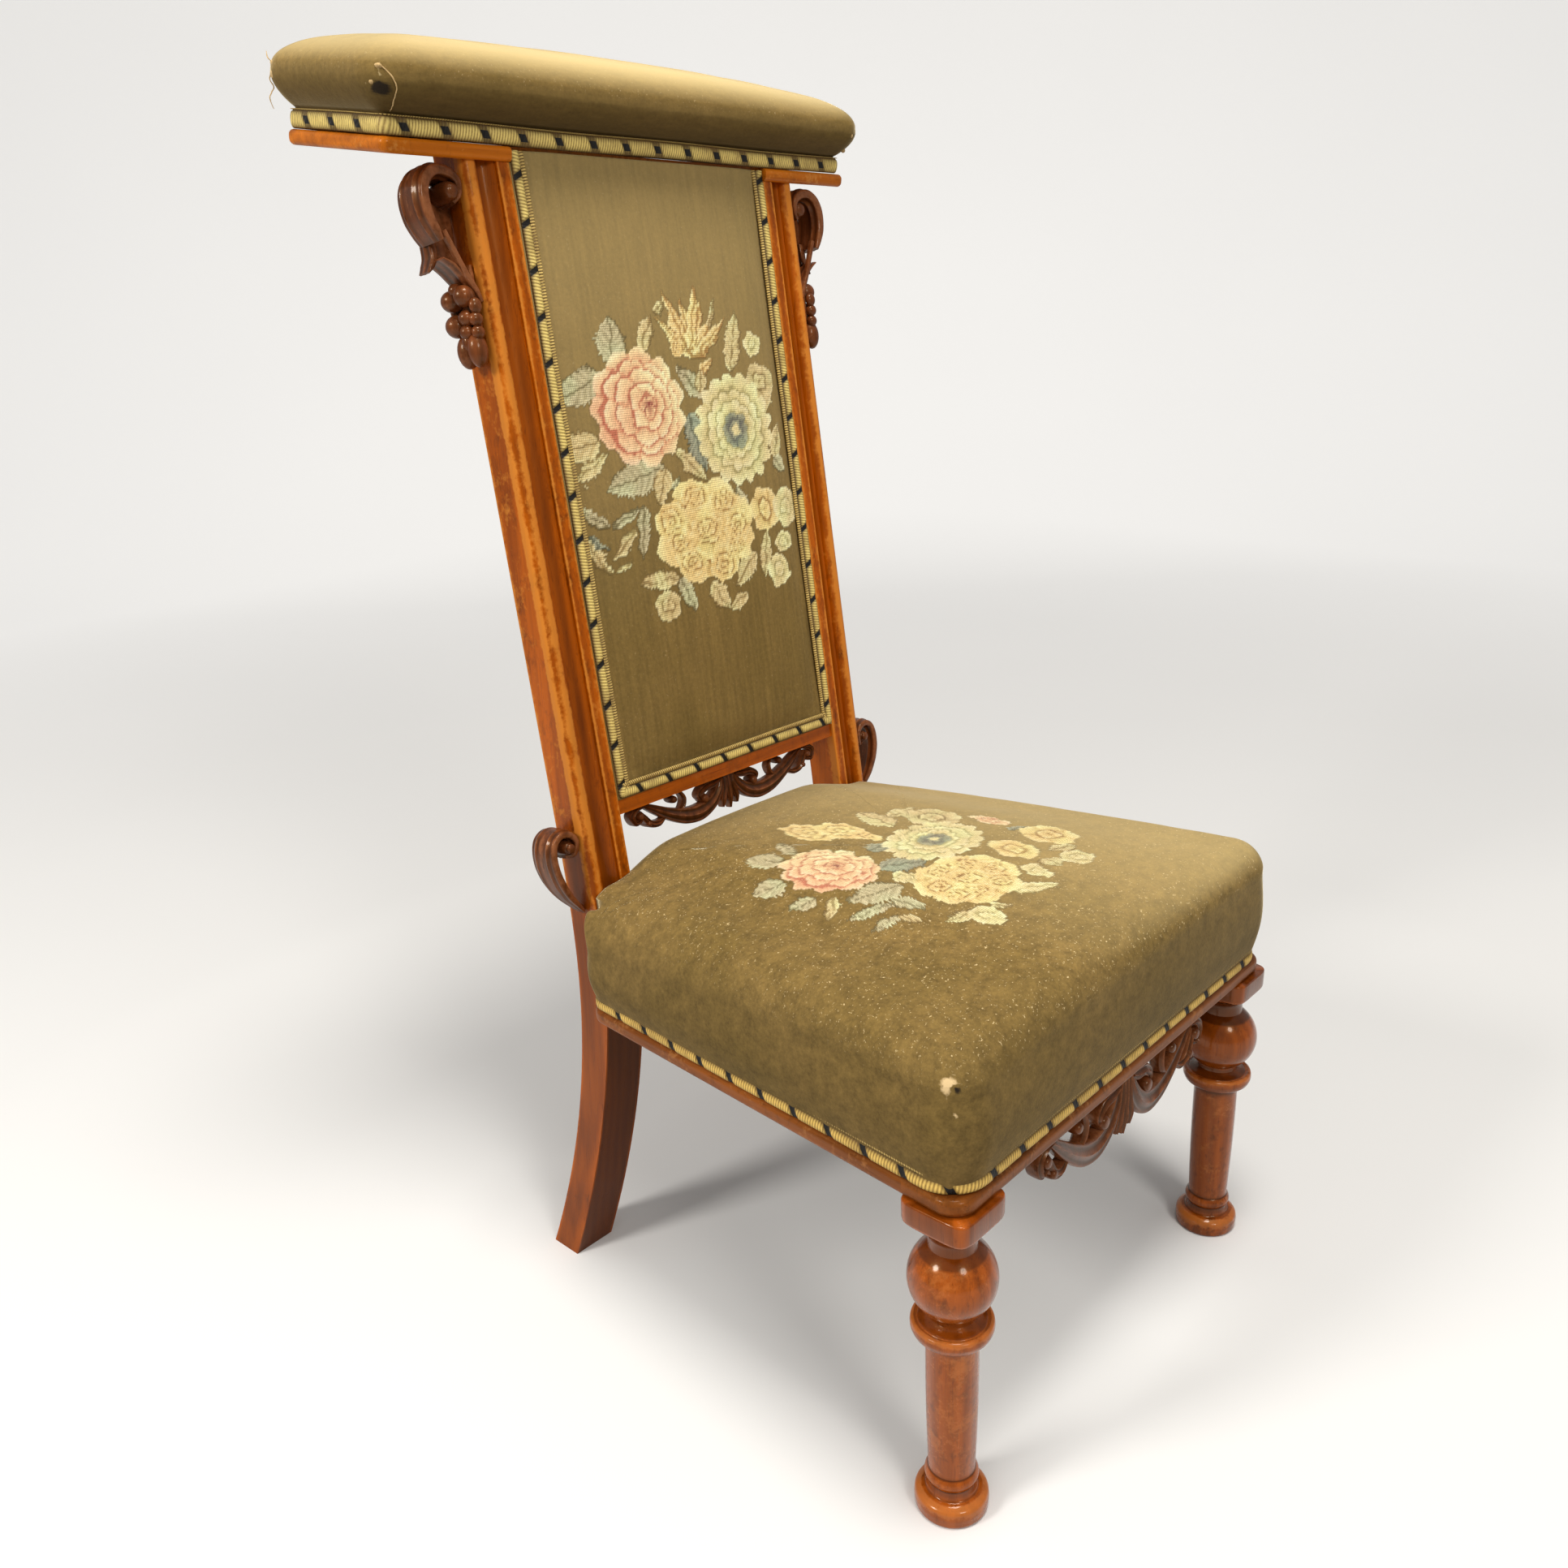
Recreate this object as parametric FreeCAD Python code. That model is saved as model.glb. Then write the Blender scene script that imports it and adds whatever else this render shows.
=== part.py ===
import FreeCAD, Part
import math
import os

# Prayer chair with a low domed seat, a tall narrow raked back and a padded elbow rest.
# Lengths are in millimetres and angles in degrees. X runs across the chair, Y runs to the rear
# and Z runs up. The model is drawn with Y zero at the front face of the posts under the
# crest board, and is centred over the origin at the end.

V = FreeCAD.Vector

# Main sizes of the chair
crest_height = 900.0
back_rake = 7.4
crest_slope = 8.7
post_spread = 349.0
seat_frame_height = 253.4
seat_crown_rise = 126.6
seat_front_setback = 461.0
seat_front_width = 446.0
seat_rear_width = 394.0
seat_rear_setback = 78.0

# Small shared values
cloth_clearance = 0.3
joint_clearance = 0.2
cut_overrun = 20.0
long_reach = 1500.0

# Rear posts
post_width = 40.0
post_depth = 36.0
front_knee_rise = 91.6
rear_knee_rise = 126.6
splay_rise = 46.6
foot_splay = 26.0
foot_heel_setback = 1.0
foot_depth = 34.0
strip_width = 11.5
groove_width = 1.5
groove_depth = 2.5
cove_shoulder = 1.2
cove_depth = 6.4
bead_radius = 7.0
bead_setback = 1.0
moulding_stop_rise = 94.6

# Crest board and its screws
crest_length = 480.0
crest_depth = 126.0
crest_thickness = 10.5
crest_nose = 3.0
crest_corner_radius = 6.0
crest_edge_round = 4.0
panel_recess = 9.0
crest_screw_length = 45.0
crest_screw_radius = 2.2
crest_screw_head_radius = 4.5
crest_screw_head_depth = 3.0
crest_screw_front = 14.0
crest_screw_pitch = 15.0
crest_screw_inset = 12.0

# Elbow pad and the braid round its foot
elbow_end_inset = 9.0
elbow_front_inset = 1.5
elbow_rear_inset = 3.0
crest_gimp_height = 13.5
gimp_thickness = 2.0
elbow_crown = 69.0
elbow_end_height = 34.0
elbow_front_swell = 20.5
elbow_rear_swell = 14.0
elbow_end_swell = 18.0
elbow_shoulder_height = 36.0
elbow_sections = 13
elbow_foot_radius = 4.0

# Frame of the back
lower_rail_height = 40.0
lower_rail_lip = 12.0
lower_rail_setback = 2.5
upper_rail_height = 48.0
frame_setback = 9.6
frame_rear_margin = 6.0
batten_width = 14.0
rail_tenon_length = 20.0
rail_tenon_thickness = 10.0
rail_tenon_shoulder = 8.0
back_web_width = 50.0
back_web_thickness = 1.2
back_web_pitch = 84.0
back_web_overlap = 22.0
hessian_thickness = 0.8
outside_cloth_thickness = 1.2

# Back panel pad and its braid
panel_crown = 8.0
panel_edge_front = 0.4
panel_margin = 11.0
panel_top_rise = 9.5
panel_gimp_width = 9.5

# Crest brackets, with their shapes as shares of these sizes
bracket_reach = 40.0
bracket_drop = 139.0
bracket_scroll_drop = 50.0
bracket_leaf_drop = 76.0
bracket_band = 8.0
bracket_front = 5.0
bracket_depth = 28.0
bracket_backing = 5.0
volute_radius = 6.5
berry_radius = 7.0
berry_first_drop = 92.0
berry_pitch = 18.5
berry_tiers = 3
berries_across = 3

# Scrolls at seat level
scroll_rise = 4.0
scroll_reach = 30.0
scroll_drop = 76.0
scroll_band = 8.5

# Pierced aprons
back_apron_span = 236.0
back_apron_drop = 36.0
back_apron_thickness = 13.0
back_apron_setback = 9.0
back_apron_clearance = 8.4
front_apron_span = 246.0
front_apron_drop = 56.0
front_apron_thickness = 15.0
front_apron_setback = 4.0
apron_band_share = 0.19
apron_fillet = 3.0

# Seat frame
rail_height = 50.0
rail_thickness = 25.0
moulding_width = 12.0
moulding_height = 13.0
moulding_round = 4.5
moulding_corner_radius = 18.0
lip_overlap = 1.0
back_seat_rail_setback = 50.0
seat_tenon_length = 20.0
seat_tenon_thickness = 11.0
seat_tenon_shoulder = 9.0
tenon_gap = 4.0
rear_tenon_length = 17.0
rear_tenon_cheek = 4.0
brace_leg = 52.0
brace_height = 34.0
brace_drop = 6.0
brace_screw_radius = 2.5
brace_screw_length = 46.0
brace_screw_head_radius = 4.5
brace_screw_head_depth = 2.5

# Front legs
leg_front_inset = 22.5
leg_side_inset = 24.0
block_size = 49.0
block_height = 12.0
block_corner_radius = 4.0
corner_post_margin = 1.0
neck_radius = 15.5
neck_drop = 25.4
block_dish_radius = 22.0
block_dish_drop = 5.0
ball_drop = 61.9
ball_radius = 29.2
ball_neck_radius = 16.0
collar_top_drop = 94.9
collar_radius = 26.6
collar_height = 13.0
shaft_top_radius = 18.3
shaft_bottom_radius = 16.2
ring_top_height = 33.0
ring_radius = 18.9
ring_height = 9.0
ankle_radius = 17.2
foot_top_height = 16.0
foot_radius = 25.7
foot_sole_radius = 24.0
foot_edge = 2.5

# Seat pad, its braid and what carries it
pad_base_inset = 3.5
pad_top_round = 21.0
pad_crown_rise = 15.0
pad_crown_reach = 124.0
pad_crown_levels = 5
pad_front_radius = 30.0
pad_rear_radius = 14.0
pad_curl_radius = 18.0
pad_rear_setback = 42.0
pad_belly_rise = 67.0
pad_belly_swell = 2.0
pad_shoulder_rise = 88.0
pad_rear_drop = 15.0
seat_gimp_height = 11.0
web_width = 50.0
web_thickness = 1.2
web_pitch_across = 85.0
web_pitch_along = 80.0
web_centre_setback = 262.0
web_lap = 16.0
spring_turns = 5
spring_wire = 3.6
spring_end_radius = 34.0
spring_waist_radius = 22.0
spring_seat_gap = 0.2
hessian_rise = 26.0
hessian_rim = 9.0
hessian_slope = 46.0
hessian_sheet = 1.0
dust_cloth_inset = 22.0
dust_cloth_thickness = 0.8
tack_radius = 3.0
tack_head = 1.2
tack_margin = 7.0
tacks_per_side = 7

post_outer = post_spread / 2
post_inner = post_outer - post_width
seat_taper = (seat_front_width - seat_rear_width) / 2 / (seat_front_setback - seat_rear_setback)
taper_angle = math.atan(seat_taper)
rail_top_height = seat_frame_height + rail_height
moulding_top_height = seat_frame_height + moulding_height
rail_inset = moulding_width
front_knee_height = seat_frame_height + front_knee_rise
rear_knee_height = seat_frame_height + rear_knee_rise
splay_height = seat_frame_height + splay_rise
moulding_stop_height = seat_frame_height + moulding_stop_rise
seat_crown_height = seat_frame_height + seat_crown_rise
pad_belly_height = seat_frame_height + pad_belly_rise
pad_shoulder_height = seat_frame_height + pad_shoulder_rise
neck_height = seat_frame_height - neck_drop
ball_height = seat_frame_height - ball_drop
collar_top_height = seat_frame_height - collar_top_drop
back_apron_foot = seat_crown_height - pad_crown_rise + back_apron_clearance
lower_rail_drop = (crest_height - back_apron_foot) / math.cos(math.radians(back_rake)) - back_apron_drop
scroll_top_drop = lower_rail_drop - scroll_rise


# Shape helpers

def box_between(low, high):
    """Box from its lowest corner to its highest corner."""
    return Part.makeBox(high.x - low.x, high.y - low.y, high.z - low.z, low)


def prism(corners, push):
    """Solid from a closed outline of corner points, pushed along a vector."""
    return Part.Face(Part.makePolygon(corners + corners[:1])).extrude(push)


def rounded_edges(corners, radii):
    """Edges of a closed outline whose corners are rounded, each by its own radius."""
    rounds = []
    for index, corner in enumerate(corners):
        before = (corners[index - 1] - corner).normalize()
        after = (corners[(index + 1) % len(corners)] - corner).normalize()
        half_angle = before.getAngle(after) / 2
        radius = radii[index]
        setback = radius / math.tan(half_angle)
        middle = corner + (before + after).normalize() * (radius / math.sin(half_angle) - radius)
        rounds.append((corner + before * setback, middle, corner + after * setback))
    edges = []
    for index, (start, middle, finish) in enumerate(rounds):
        edges.append(Part.Arc(start, middle, finish).toShape())
        following = rounds[(index + 1) % len(rounds)][0]
        edges.append(Part.LineSegment(finish, following).toShape())
    return edges


def rounded_wire(corners, radii):
    """Closed wire through rounded corners."""
    return Part.Wire(rounded_edges(corners, radii))


def rounded_prism(corners, radii, push):
    """Solid from an outline with rounded corners, pushed along a vector."""
    return Part.Face(rounded_wire(corners, radii)).extrude(push)


def line(start, finish):
    """Straight edge."""
    return Part.LineSegment(start, finish).toShape()


def arc(start, middle, finish):
    """Arc through three points."""
    return Part.Arc(start, middle, finish).toShape()


def tangent_arc(start, heading, finish):
    """Arc that leaves start along heading and ends at finish."""
    chord = finish - start
    turn = heading.getAngle(chord)
    across = heading - chord * (heading.dot(chord) / chord.dot(chord))
    middle = start + chord * 0.5 + across.normalize() * (chord.Length / 2 * math.tan(turn / 2))
    return arc(start, middle, finish)


def back_frame(shape):
    """Leans a shape with the back: it is drawn upright, with its origin under the crest board."""
    leaned = shape.copy()
    leaned.rotate(V(0, 0, 0), V(1, 0, 0), -back_rake)
    leaned.translate(V(0, 0, crest_height))
    return leaned


def crest_frame(shape):
    """Tilts a shape with the crest board: it is drawn level, with its origin at the front edge."""
    tilted = shape.copy()
    tilted.rotate(V(0, 0, 0), V(1, 0, 0), crest_slope)
    tilted.translate(V(0, -crest_nose, crest_height))
    return tilted


def mirrored(shape):
    """The same shape on the other side of the chair."""
    return shape.mirror(V(0, 0, 0), V(1, 0, 0))


def fused(shapes):
    """One solid from overlapping shapes."""
    return shapes[0].multiFuse(shapes[1:]).removeSplitter()


def above_crest():
    """All the space above the underside of the crest board."""
    low = V(-long_reach, -long_reach, 0)
    return crest_frame(box_between(low, V(long_reach, long_reach, long_reach)))


def seat_half_width(setback, inset):
    """Half width of the tapered seat at a setback from the crest line, drawn in by an inset."""
    run = seat_front_setback - setback
    return seat_front_width / 2 - run * seat_taper - inset / math.cos(taper_angle)


def seat_corners(inset, rear_setback, height):
    """Four corners of the seat's outline, drawn in at the front and the sides by an inset."""
    front = seat_front_setback - inset
    front_half = seat_half_width(front, inset)
    rear_half = seat_half_width(rear_setback, inset)
    return [
        V(-front_half, -front, height),
        V(front_half, -front, height),
        V(rear_half, -rear_setback, height),
        V(-rear_half, -rear_setback, height),
    ]


# Rear posts, from the crest board down to the curved foot

def post_side_face():
    """The post as seen from the side: raked above the seat, swept back to the foot below it."""
    rake = math.radians(back_rake)
    lean = V(0, math.sin(rake), math.cos(rake))
    rearward = V(0, math.cos(rake), -math.sin(rake))
    pivot = V(0, 0, crest_height)
    rise = cut_overrun * 2
    front_knee = pivot + lean * ((front_knee_height - crest_height) / lean.z)
    rear_start = pivot + rearward * post_depth
    rear_knee = rear_start + lean * ((rear_knee_height - rear_start.z) / lean.z)
    toe = V(0, foot_heel_setback - foot_depth, 0)
    heel = V(0, foot_heel_setback, 0)
    front_top = pivot + lean * rise
    rear_top = rear_start + lean * rise
    return Part.Face(Part.Wire([
        line(front_top, front_knee),
        tangent_arc(front_knee, lean * -1, toe),
        line(toe, heel),
        tangent_arc(rear_knee, lean * -1, heel),
        line(rear_knee, rear_top),
        line(rear_top, front_top),
    ]))


def post_front_face():
    """The right post as seen from the front: straight above, splayed outwards to the foot."""
    down = V(0, 0, -1)
    top = crest_height + cut_overrun * 4
    outer_bend = V(post_outer, -long_reach, splay_height)
    inner_bend = V(post_inner, -long_reach, splay_height)
    outer_foot = V(post_outer + foot_splay, -long_reach, 0)
    inner_foot = V(post_inner + foot_splay, -long_reach, 0)
    outer_top = V(post_outer, -long_reach, top)
    inner_top = V(post_inner, -long_reach, top)
    return Part.Face(Part.Wire([
        line(outer_top, outer_bend),
        tangent_arc(outer_bend, down, outer_foot),
        line(outer_foot, inner_foot),
        tangent_arc(inner_bend, down, inner_foot),
        line(inner_bend, inner_top),
        line(inner_top, outer_top),
    ]))


def moulding_cutter():
    """What the plane takes off the front of the right post: a groove, a cove and a corner bead."""
    groove_start = post_inner + strip_width
    cove_start = groove_start + groove_width
    cove_end = post_outer - bead_radius * 2
    bead_depth = bead_setback + bead_radius
    cove_middle = cove_start + (cove_end - cove_start) * 0.4
    stop = (moulding_stop_height - crest_height) / math.cos(math.radians(back_rake))

    def at(x, y):
        return V(x, y, stop)

    section = Part.Wire([
        line(at(groove_start, -cut_overrun), at(groove_start, groove_depth)),
        line(at(groove_start, groove_depth), at(cove_start, groove_depth)),
        line(at(cove_start, groove_depth), at(cove_start, cove_shoulder)),
        arc(at(cove_start, cove_shoulder), at(cove_middle, cove_depth), at(cove_end, bead_depth)),
        arc(at(cove_end, bead_depth), at(post_outer - bead_radius, bead_setback),
            at(post_outer, bead_depth)),
        line(at(post_outer, bead_depth), at(post_outer + cut_overrun, bead_depth)),
        line(at(post_outer + cut_overrun, bead_depth), at(post_outer + cut_overrun, -cut_overrun)),
        line(at(post_outer + cut_overrun, -cut_overrun), at(groove_start, -cut_overrun)),
    ])
    return back_frame(Part.Face(section).extrude(V(0, 0, cut_overrun * 4 - stop)))


def rear_post_blank():
    """The right post before its joints are cut."""
    side = post_side_face().extrude(V(long_reach, 0, 0))
    front = post_front_face().extrude(V(0, long_reach * 2, 0))
    return side.common(front).cut(above_crest())


def post_line(slack):
    """Everything from the front face of the posts to the rear, at any width."""
    line_up = post_side_face().extrude(V(long_reach, 0, 0))
    line_up.translate(V(0, -slack, 0))
    behind = line_up.copy()
    behind.translate(V(0, post_depth / 2, 0))
    return line_up.fuse(behind)


def crest_screw_spots():
    """Where the crest screws go in, in the crest board's own frame."""
    spots = []
    for side in (-1, 1):
        for step in (0, 1):
            across = side * (post_outer - crest_screw_inset)
            along = crest_nose + crest_screw_front + step * crest_screw_pitch - crest_screw_pitch / 4
            spots.append(V(across, along, crest_thickness))
    return spots


def crest_screw(spot, slack):
    """Countersunk wood screw, driven down from the top of the crest board."""
    head_top = crest_screw_head_radius + slack
    shank = crest_screw_radius + slack
    outline = [
        V(0, 0, slack),
        V(head_top, 0, slack),
        V(head_top, 0, 0),
        V(shank, 0, -crest_screw_head_depth),
        V(shank, 0, crest_screw_radius * 2 - crest_screw_length),
        V(0, 0, -crest_screw_length - slack),
    ]
    body = Part.Face(Part.makePolygon(outline + outline[:1])).revolve(V(0, 0, 0), V(0, 0, 1), 360)
    body.translate(spot)
    return crest_frame(body)


def crest_screws(slack):
    """All the crest screws, with slack for their holes."""
    return [crest_screw(spot, slack) for spot in crest_screw_spots()]


# Crest board

def crest_board():
    """Walnut board with a rounded edge, set back in front where the back panel runs up past it."""
    half = crest_length / 2
    corners = [V(-half, 0, 0), V(half, 0, 0), V(half, crest_depth, 0), V(-half, crest_depth, 0)]
    board = rounded_prism(corners, [crest_corner_radius] * 4, V(0, 0, crest_thickness))
    level_edges = [edge for edge in board.Edges if edge.BoundBox.ZLength < cloth_clearance]
    board = board.makeFillet(crest_edge_round, level_edges)
    low = V(-post_inner, -cut_overrun, -cut_overrun)
    board = board.cut(box_between(low, V(post_inner, panel_recess, cut_overrun * 2)))
    board = crest_frame(board)
    for hole in crest_screws(joint_clearance):
        board = board.cut(hole)
    return board


# Elbow pad

def elbow_section(x, share):
    """Side outline of the elbow pad at one place along it, its height taken down by a share."""
    base_front = elbow_front_inset + gimp_thickness + cloth_clearance
    base_rear = crest_depth - elbow_rear_inset - gimp_thickness - cloth_clearance
    floor = crest_thickness + cloth_clearance
    foot = floor + crest_gimp_height
    crown = crest_thickness + elbow_crown * share
    shoulder = min(crest_thickness + elbow_shoulder_height, foot + (crown - foot) * 0.5)
    front = base_front - elbow_front_swell
    rear = base_rear + elbow_rear_swell
    rise = crown - shoulder
    low_front = V(x, base_front, foot)
    low_rear = V(x, base_rear, foot)
    front_shoulder = V(x, front, shoulder)
    rear_shoulder = V(x, rear, shoulder + rise * 0.12)
    front_turn = V(x, base_front + crest_depth * 0.12, crown - rise * 0.12)
    rear_turn = V(x, base_rear - crest_depth * 0.12, crown - rise * 0.14)
    top = V(x, base_front + (base_rear - base_front) * 0.55, crown)
    under = (shoulder - foot) * 0.36
    return Part.Wire([
        line(V(x, base_rear, floor), V(x, base_front, floor)),
        line(V(x, base_front, floor), low_front),
        arc(low_front, V(x, base_front - elbow_front_swell * 0.7, foot + under), front_shoulder),
        arc(front_shoulder, V(x, front + elbow_front_swell * 0.56, shoulder + rise * 0.62), front_turn),
        arc(front_turn, top, rear_turn),
        arc(rear_turn, V(x, rear - elbow_rear_swell * 0.44, shoulder + rise * 0.58), rear_shoulder),
        arc(rear_shoulder, V(x, rear - elbow_rear_swell * 0.3, foot + under), low_rear),
        line(low_rear, V(x, base_rear, floor)),
    ])


def elbow_pad():
    """Stuffed plush pad: crowned along and across, swelling out over its foot on all sides."""
    half = crest_length / 2 - elbow_end_inset - gimp_thickness - cloth_clearance
    tip = half + elbow_end_swell
    end_share = elbow_end_height / elbow_crown
    sections = []
    for step in range(elbow_sections):
        place = math.sin(math.pi * (step / (elbow_sections - 1) - 0.5))
        share = end_share + (1 - end_share) * math.sqrt(max(0, 1 - place ** 6))
        sections.append(elbow_section(tip * place, share))
    body = Part.makeLoft(sections, True, False)
    floor = crest_thickness + cloth_clearance
    foot = floor + crest_gimp_height
    tip_height = crest_thickness + elbow_end_height
    roof = crest_thickness + elbow_crown + cut_overrun
    reach = -elbow_front_swell - cut_overrun
    bulge_height = (foot + tip_height) / 2
    bulge = half + elbow_end_swell * 0.72
    end_outline = Part.Wire([
        line(V(-half, reach, floor), V(half, reach, floor)),
        line(V(half, reach, floor), V(half, reach, foot)),
        arc(V(half, reach, foot), V(bulge, reach, bulge_height), V(tip, reach, tip_height)),
        line(V(tip, reach, tip_height), V(tip, reach, roof)),
        line(V(tip, reach, roof), V(-tip, reach, roof)),
        line(V(-tip, reach, roof), V(-tip, reach, tip_height)),
        arc(V(-tip, reach, tip_height), V(-bulge, reach, bulge_height), V(-half, reach, foot)),
        line(V(-half, reach, foot), V(-half, reach, floor)),
    ])
    ends = Part.Face(end_outline).extrude(V(0, crest_depth * 2, 0))
    return crest_frame(body.common(ends))


def crest_gimp():
    """Braid round the foot of the elbow pad."""
    half = crest_length / 2 - elbow_end_inset
    front = elbow_front_inset
    rear = crest_depth - elbow_rear_inset
    level = crest_thickness
    corners = [V(-half, front, level), V(half, front, level), V(half, rear, level), V(-half, rear, level)]
    push = V(0, 0, crest_gimp_height)
    outer = rounded_prism(corners, [elbow_foot_radius] * 4, push)
    inward = gimp_thickness
    shifts = [V(inward, inward, 0), V(-inward, inward, 0), V(-inward, -inward, 0), V(inward, -inward, 0)]
    inner_corners = [corner + shift for corner, shift in zip(corners, shifts)]
    inner = rounded_prism(inner_corners, [elbow_foot_radius - gimp_thickness] * 4, push)
    return crest_frame(outer.cut(inner))


# Frame of the back

def frame_rear():
    """Rear face of the back's frame, in from the rear of the posts."""
    return post_depth - frame_rear_margin


def tenoned(body, low_z, high_z, low_y):
    """A rail of the back with a tenon into each post."""
    reach = post_inner + rail_tenon_length
    low = V(-reach, low_y, low_z + rail_tenon_shoulder)
    high = V(reach, low_y + rail_tenon_thickness, high_z - rail_tenon_shoulder)
    return fused([body, box_between(low, high)])


def tenon_low_y():
    """Front face of the tenons of the back's rails."""
    return frame_setback + (frame_rear() - frame_setback - rail_tenon_thickness) / 2


def tenon_mortise(low_z, high_z):
    """Room for one rail tenon in both posts."""
    slack = joint_clearance
    reach = post_inner + rail_tenon_length + slack
    low = V(-reach, tenon_low_y() - slack, low_z + rail_tenon_shoulder - slack)
    high = V(reach, tenon_low_y() + rail_tenon_thickness + slack, high_z - rail_tenon_shoulder + slack)
    return back_frame(box_between(low, high))


def back_bottom_rail():
    """Plain rail with a lip that shows under the panel, stepped back behind the panel's cloth."""
    low = V(-post_inner, lower_rail_setback, -lower_rail_drop)
    top = lower_rail_height - lower_rail_drop
    body = box_between(low, V(post_inner, frame_rear(), top))
    step = V(-post_inner, lower_rail_setback, lower_rail_lip - lower_rail_drop)
    body = body.cut(box_between(step, V(post_inner, frame_setback, top)))
    return back_frame(tenoned(body, -lower_rail_drop, top, tenon_low_y()))


def back_top_rail():
    """Hidden rail under the crest board, cut to its slope."""
    low = V(-post_inner, frame_setback, -upper_rail_height)
    body = box_between(low, V(post_inner, frame_rear(), cut_overrun))
    body = tenoned(body, -upper_rail_height, -rail_tenon_shoulder / 2, tenon_low_y())
    return back_frame(body).cut(above_crest())


def tacking_batten():
    """Right batten on the post's inner face, which the back's cloth is tacked to."""
    low = V(post_inner - batten_width, frame_setback, lower_rail_height - lower_rail_drop)
    return back_frame(box_between(low, V(post_inner, frame_rear(), -upper_rail_height)))


def back_webbing():
    """Two upright strips of webbing across the front of the back's frame."""
    strips = []
    low_z = lower_rail_height - lower_rail_drop - back_web_overlap
    high_z = back_web_overlap - upper_rail_height
    for side in (-1, 1):
        centre = side * back_web_pitch / 2
        low = V(centre - back_web_width / 2, frame_setback - back_web_thickness, low_z)
        high = V(centre + back_web_width / 2, frame_setback, high_z)
        strips.append(back_frame(box_between(low, high)))
    return Part.makeCompound(strips)


def back_hessian():
    """Hessian over the webbing, behind the stuffing."""
    rear = frame_setback - back_web_thickness
    low = V(-post_inner + cloth_clearance, rear - hessian_thickness,
            lower_rail_lip - lower_rail_drop + cloth_clearance)
    return back_frame(box_between(low, V(post_inner - cloth_clearance, rear, -cloth_clearance)))


def outside_back_cloth():
    """Plain cloth over the rear of the back's frame, between the posts."""
    low = V(-post_inner + cloth_clearance, frame_rear(), cloth_clearance - lower_rail_drop)
    high = V(post_inner - cloth_clearance, frame_rear() + outside_cloth_thickness, cut_overrun)
    return back_frame(box_between(low, high)).cut(above_crest())


def panel_wire(inset, front):
    """Upright outline of the back panel, drawn in by an inset, at a depth in front of the posts."""
    half = post_inner - cloth_clearance - inset
    low = lower_rail_lip - lower_rail_drop + cloth_clearance + inset
    high = panel_top_rise - inset
    corners = [V(-half, front, low), V(half, front, low), V(half, front, high), V(-half, front, high)]
    return Part.makePolygon(corners + corners[:1])


def back_panel_pad():
    """Stuffed plush panel: a flat margin for the braid and a low crown inside it."""
    rear = frame_setback - back_web_thickness - hessian_thickness - cloth_clearance
    margin_inset = panel_margin
    edge = Part.makeLoft([panel_wire(0, rear), panel_wire(0, panel_edge_front)], True, True)
    crown = Part.makeLoft([
        panel_wire(margin_inset, panel_edge_front + cloth_clearance),
        panel_wire(margin_inset, panel_edge_front),
        panel_wire(margin_inset * 1.6, panel_edge_front - panel_crown * 0.42),
        panel_wire(margin_inset * 3.0, panel_edge_front - panel_crown * 0.75),
        panel_wire(margin_inset * 6.0, panel_edge_front - panel_crown),
    ], True, True)
    return back_frame(fused([edge, crown]))


def back_panel_gimp():
    """Braid down both sides and along the foot of the back panel."""
    half = post_inner - cloth_clearance
    inner = half - panel_gimp_width
    low = lower_rail_lip - lower_rail_drop + cloth_clearance
    high = panel_top_rise
    step = low + panel_gimp_width
    front = panel_edge_front - cloth_clearance - gimp_thickness
    outline = [
        V(-half, front, high), V(-half, front, low), V(half, front, low), V(half, front, high),
        V(inner, front, high), V(inner, front, step), V(-inner, front, step), V(-inner, front, high),
    ]
    return back_frame(prism(outline, V(0, gimp_thickness, 0)))


# Carved scrolls, drawn on the upright plane of the back with X outwards from the post

def ring_strip(centre, radius, band, start, finish, depth):
    """Curved strip of a scroll: centre line radius, band width, end angles and depth to the rear."""
    def at(reach, angle):
        turn = math.radians(angle)
        return centre + V(math.cos(turn) * reach, 0, math.sin(turn) * reach)
    outer = radius + band / 2
    inner = radius - band / 2
    middle = (start + finish) / 2
    return Part.Face(Part.Wire([
        arc(at(outer, start), at(outer, middle), at(outer, finish)),
        line(at(outer, finish), at(inner, finish)),
        arc(at(inner, finish), at(inner, middle), at(inner, start)),
        line(at(inner, start), at(outer, start)),
    ])).extrude(V(0, depth, 0))


def disc(centre, radius, depth):
    """Round end of a scroll."""
    return Part.makeCylinder(radius, depth, centre, V(0, 1, 0))


def outward_of_post(shape):
    """Keeps what lies outwards of the right post's side face and moves it there."""
    low = V(0, -long_reach, -long_reach)
    kept = shape.common(box_between(low, V(long_reach, long_reach, long_reach)))
    kept.translate(V(post_outer, 0, 0))
    return kept


def hook(top, reach, drop, band):
    """A scroll with its eye beside the post: over the top, round the outside and down inwards."""
    front = bracket_front
    depth = bracket_depth
    arch_radius = (reach - band / 2) / 2
    arch = V(arch_radius + band * 0.15, front, top - arch_radius - band / 2)
    sweep_radius = drop * 0.85
    sweep = V(arch.x + arch_radius - sweep_radius, front, arch.z)
    sweep_angle = math.degrees(math.asin((drop - arch_radius - band / 2) / sweep_radius))
    return [
        ring_strip(arch, arch_radius, band, 0, 180, depth),
        ring_strip(sweep, sweep_radius, band, -sweep_angle, 0, depth),
        disc(V(arch.x - arch_radius * 0.46, front, arch.z - band * 0.2), volute_radius, depth),
    ]


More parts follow.
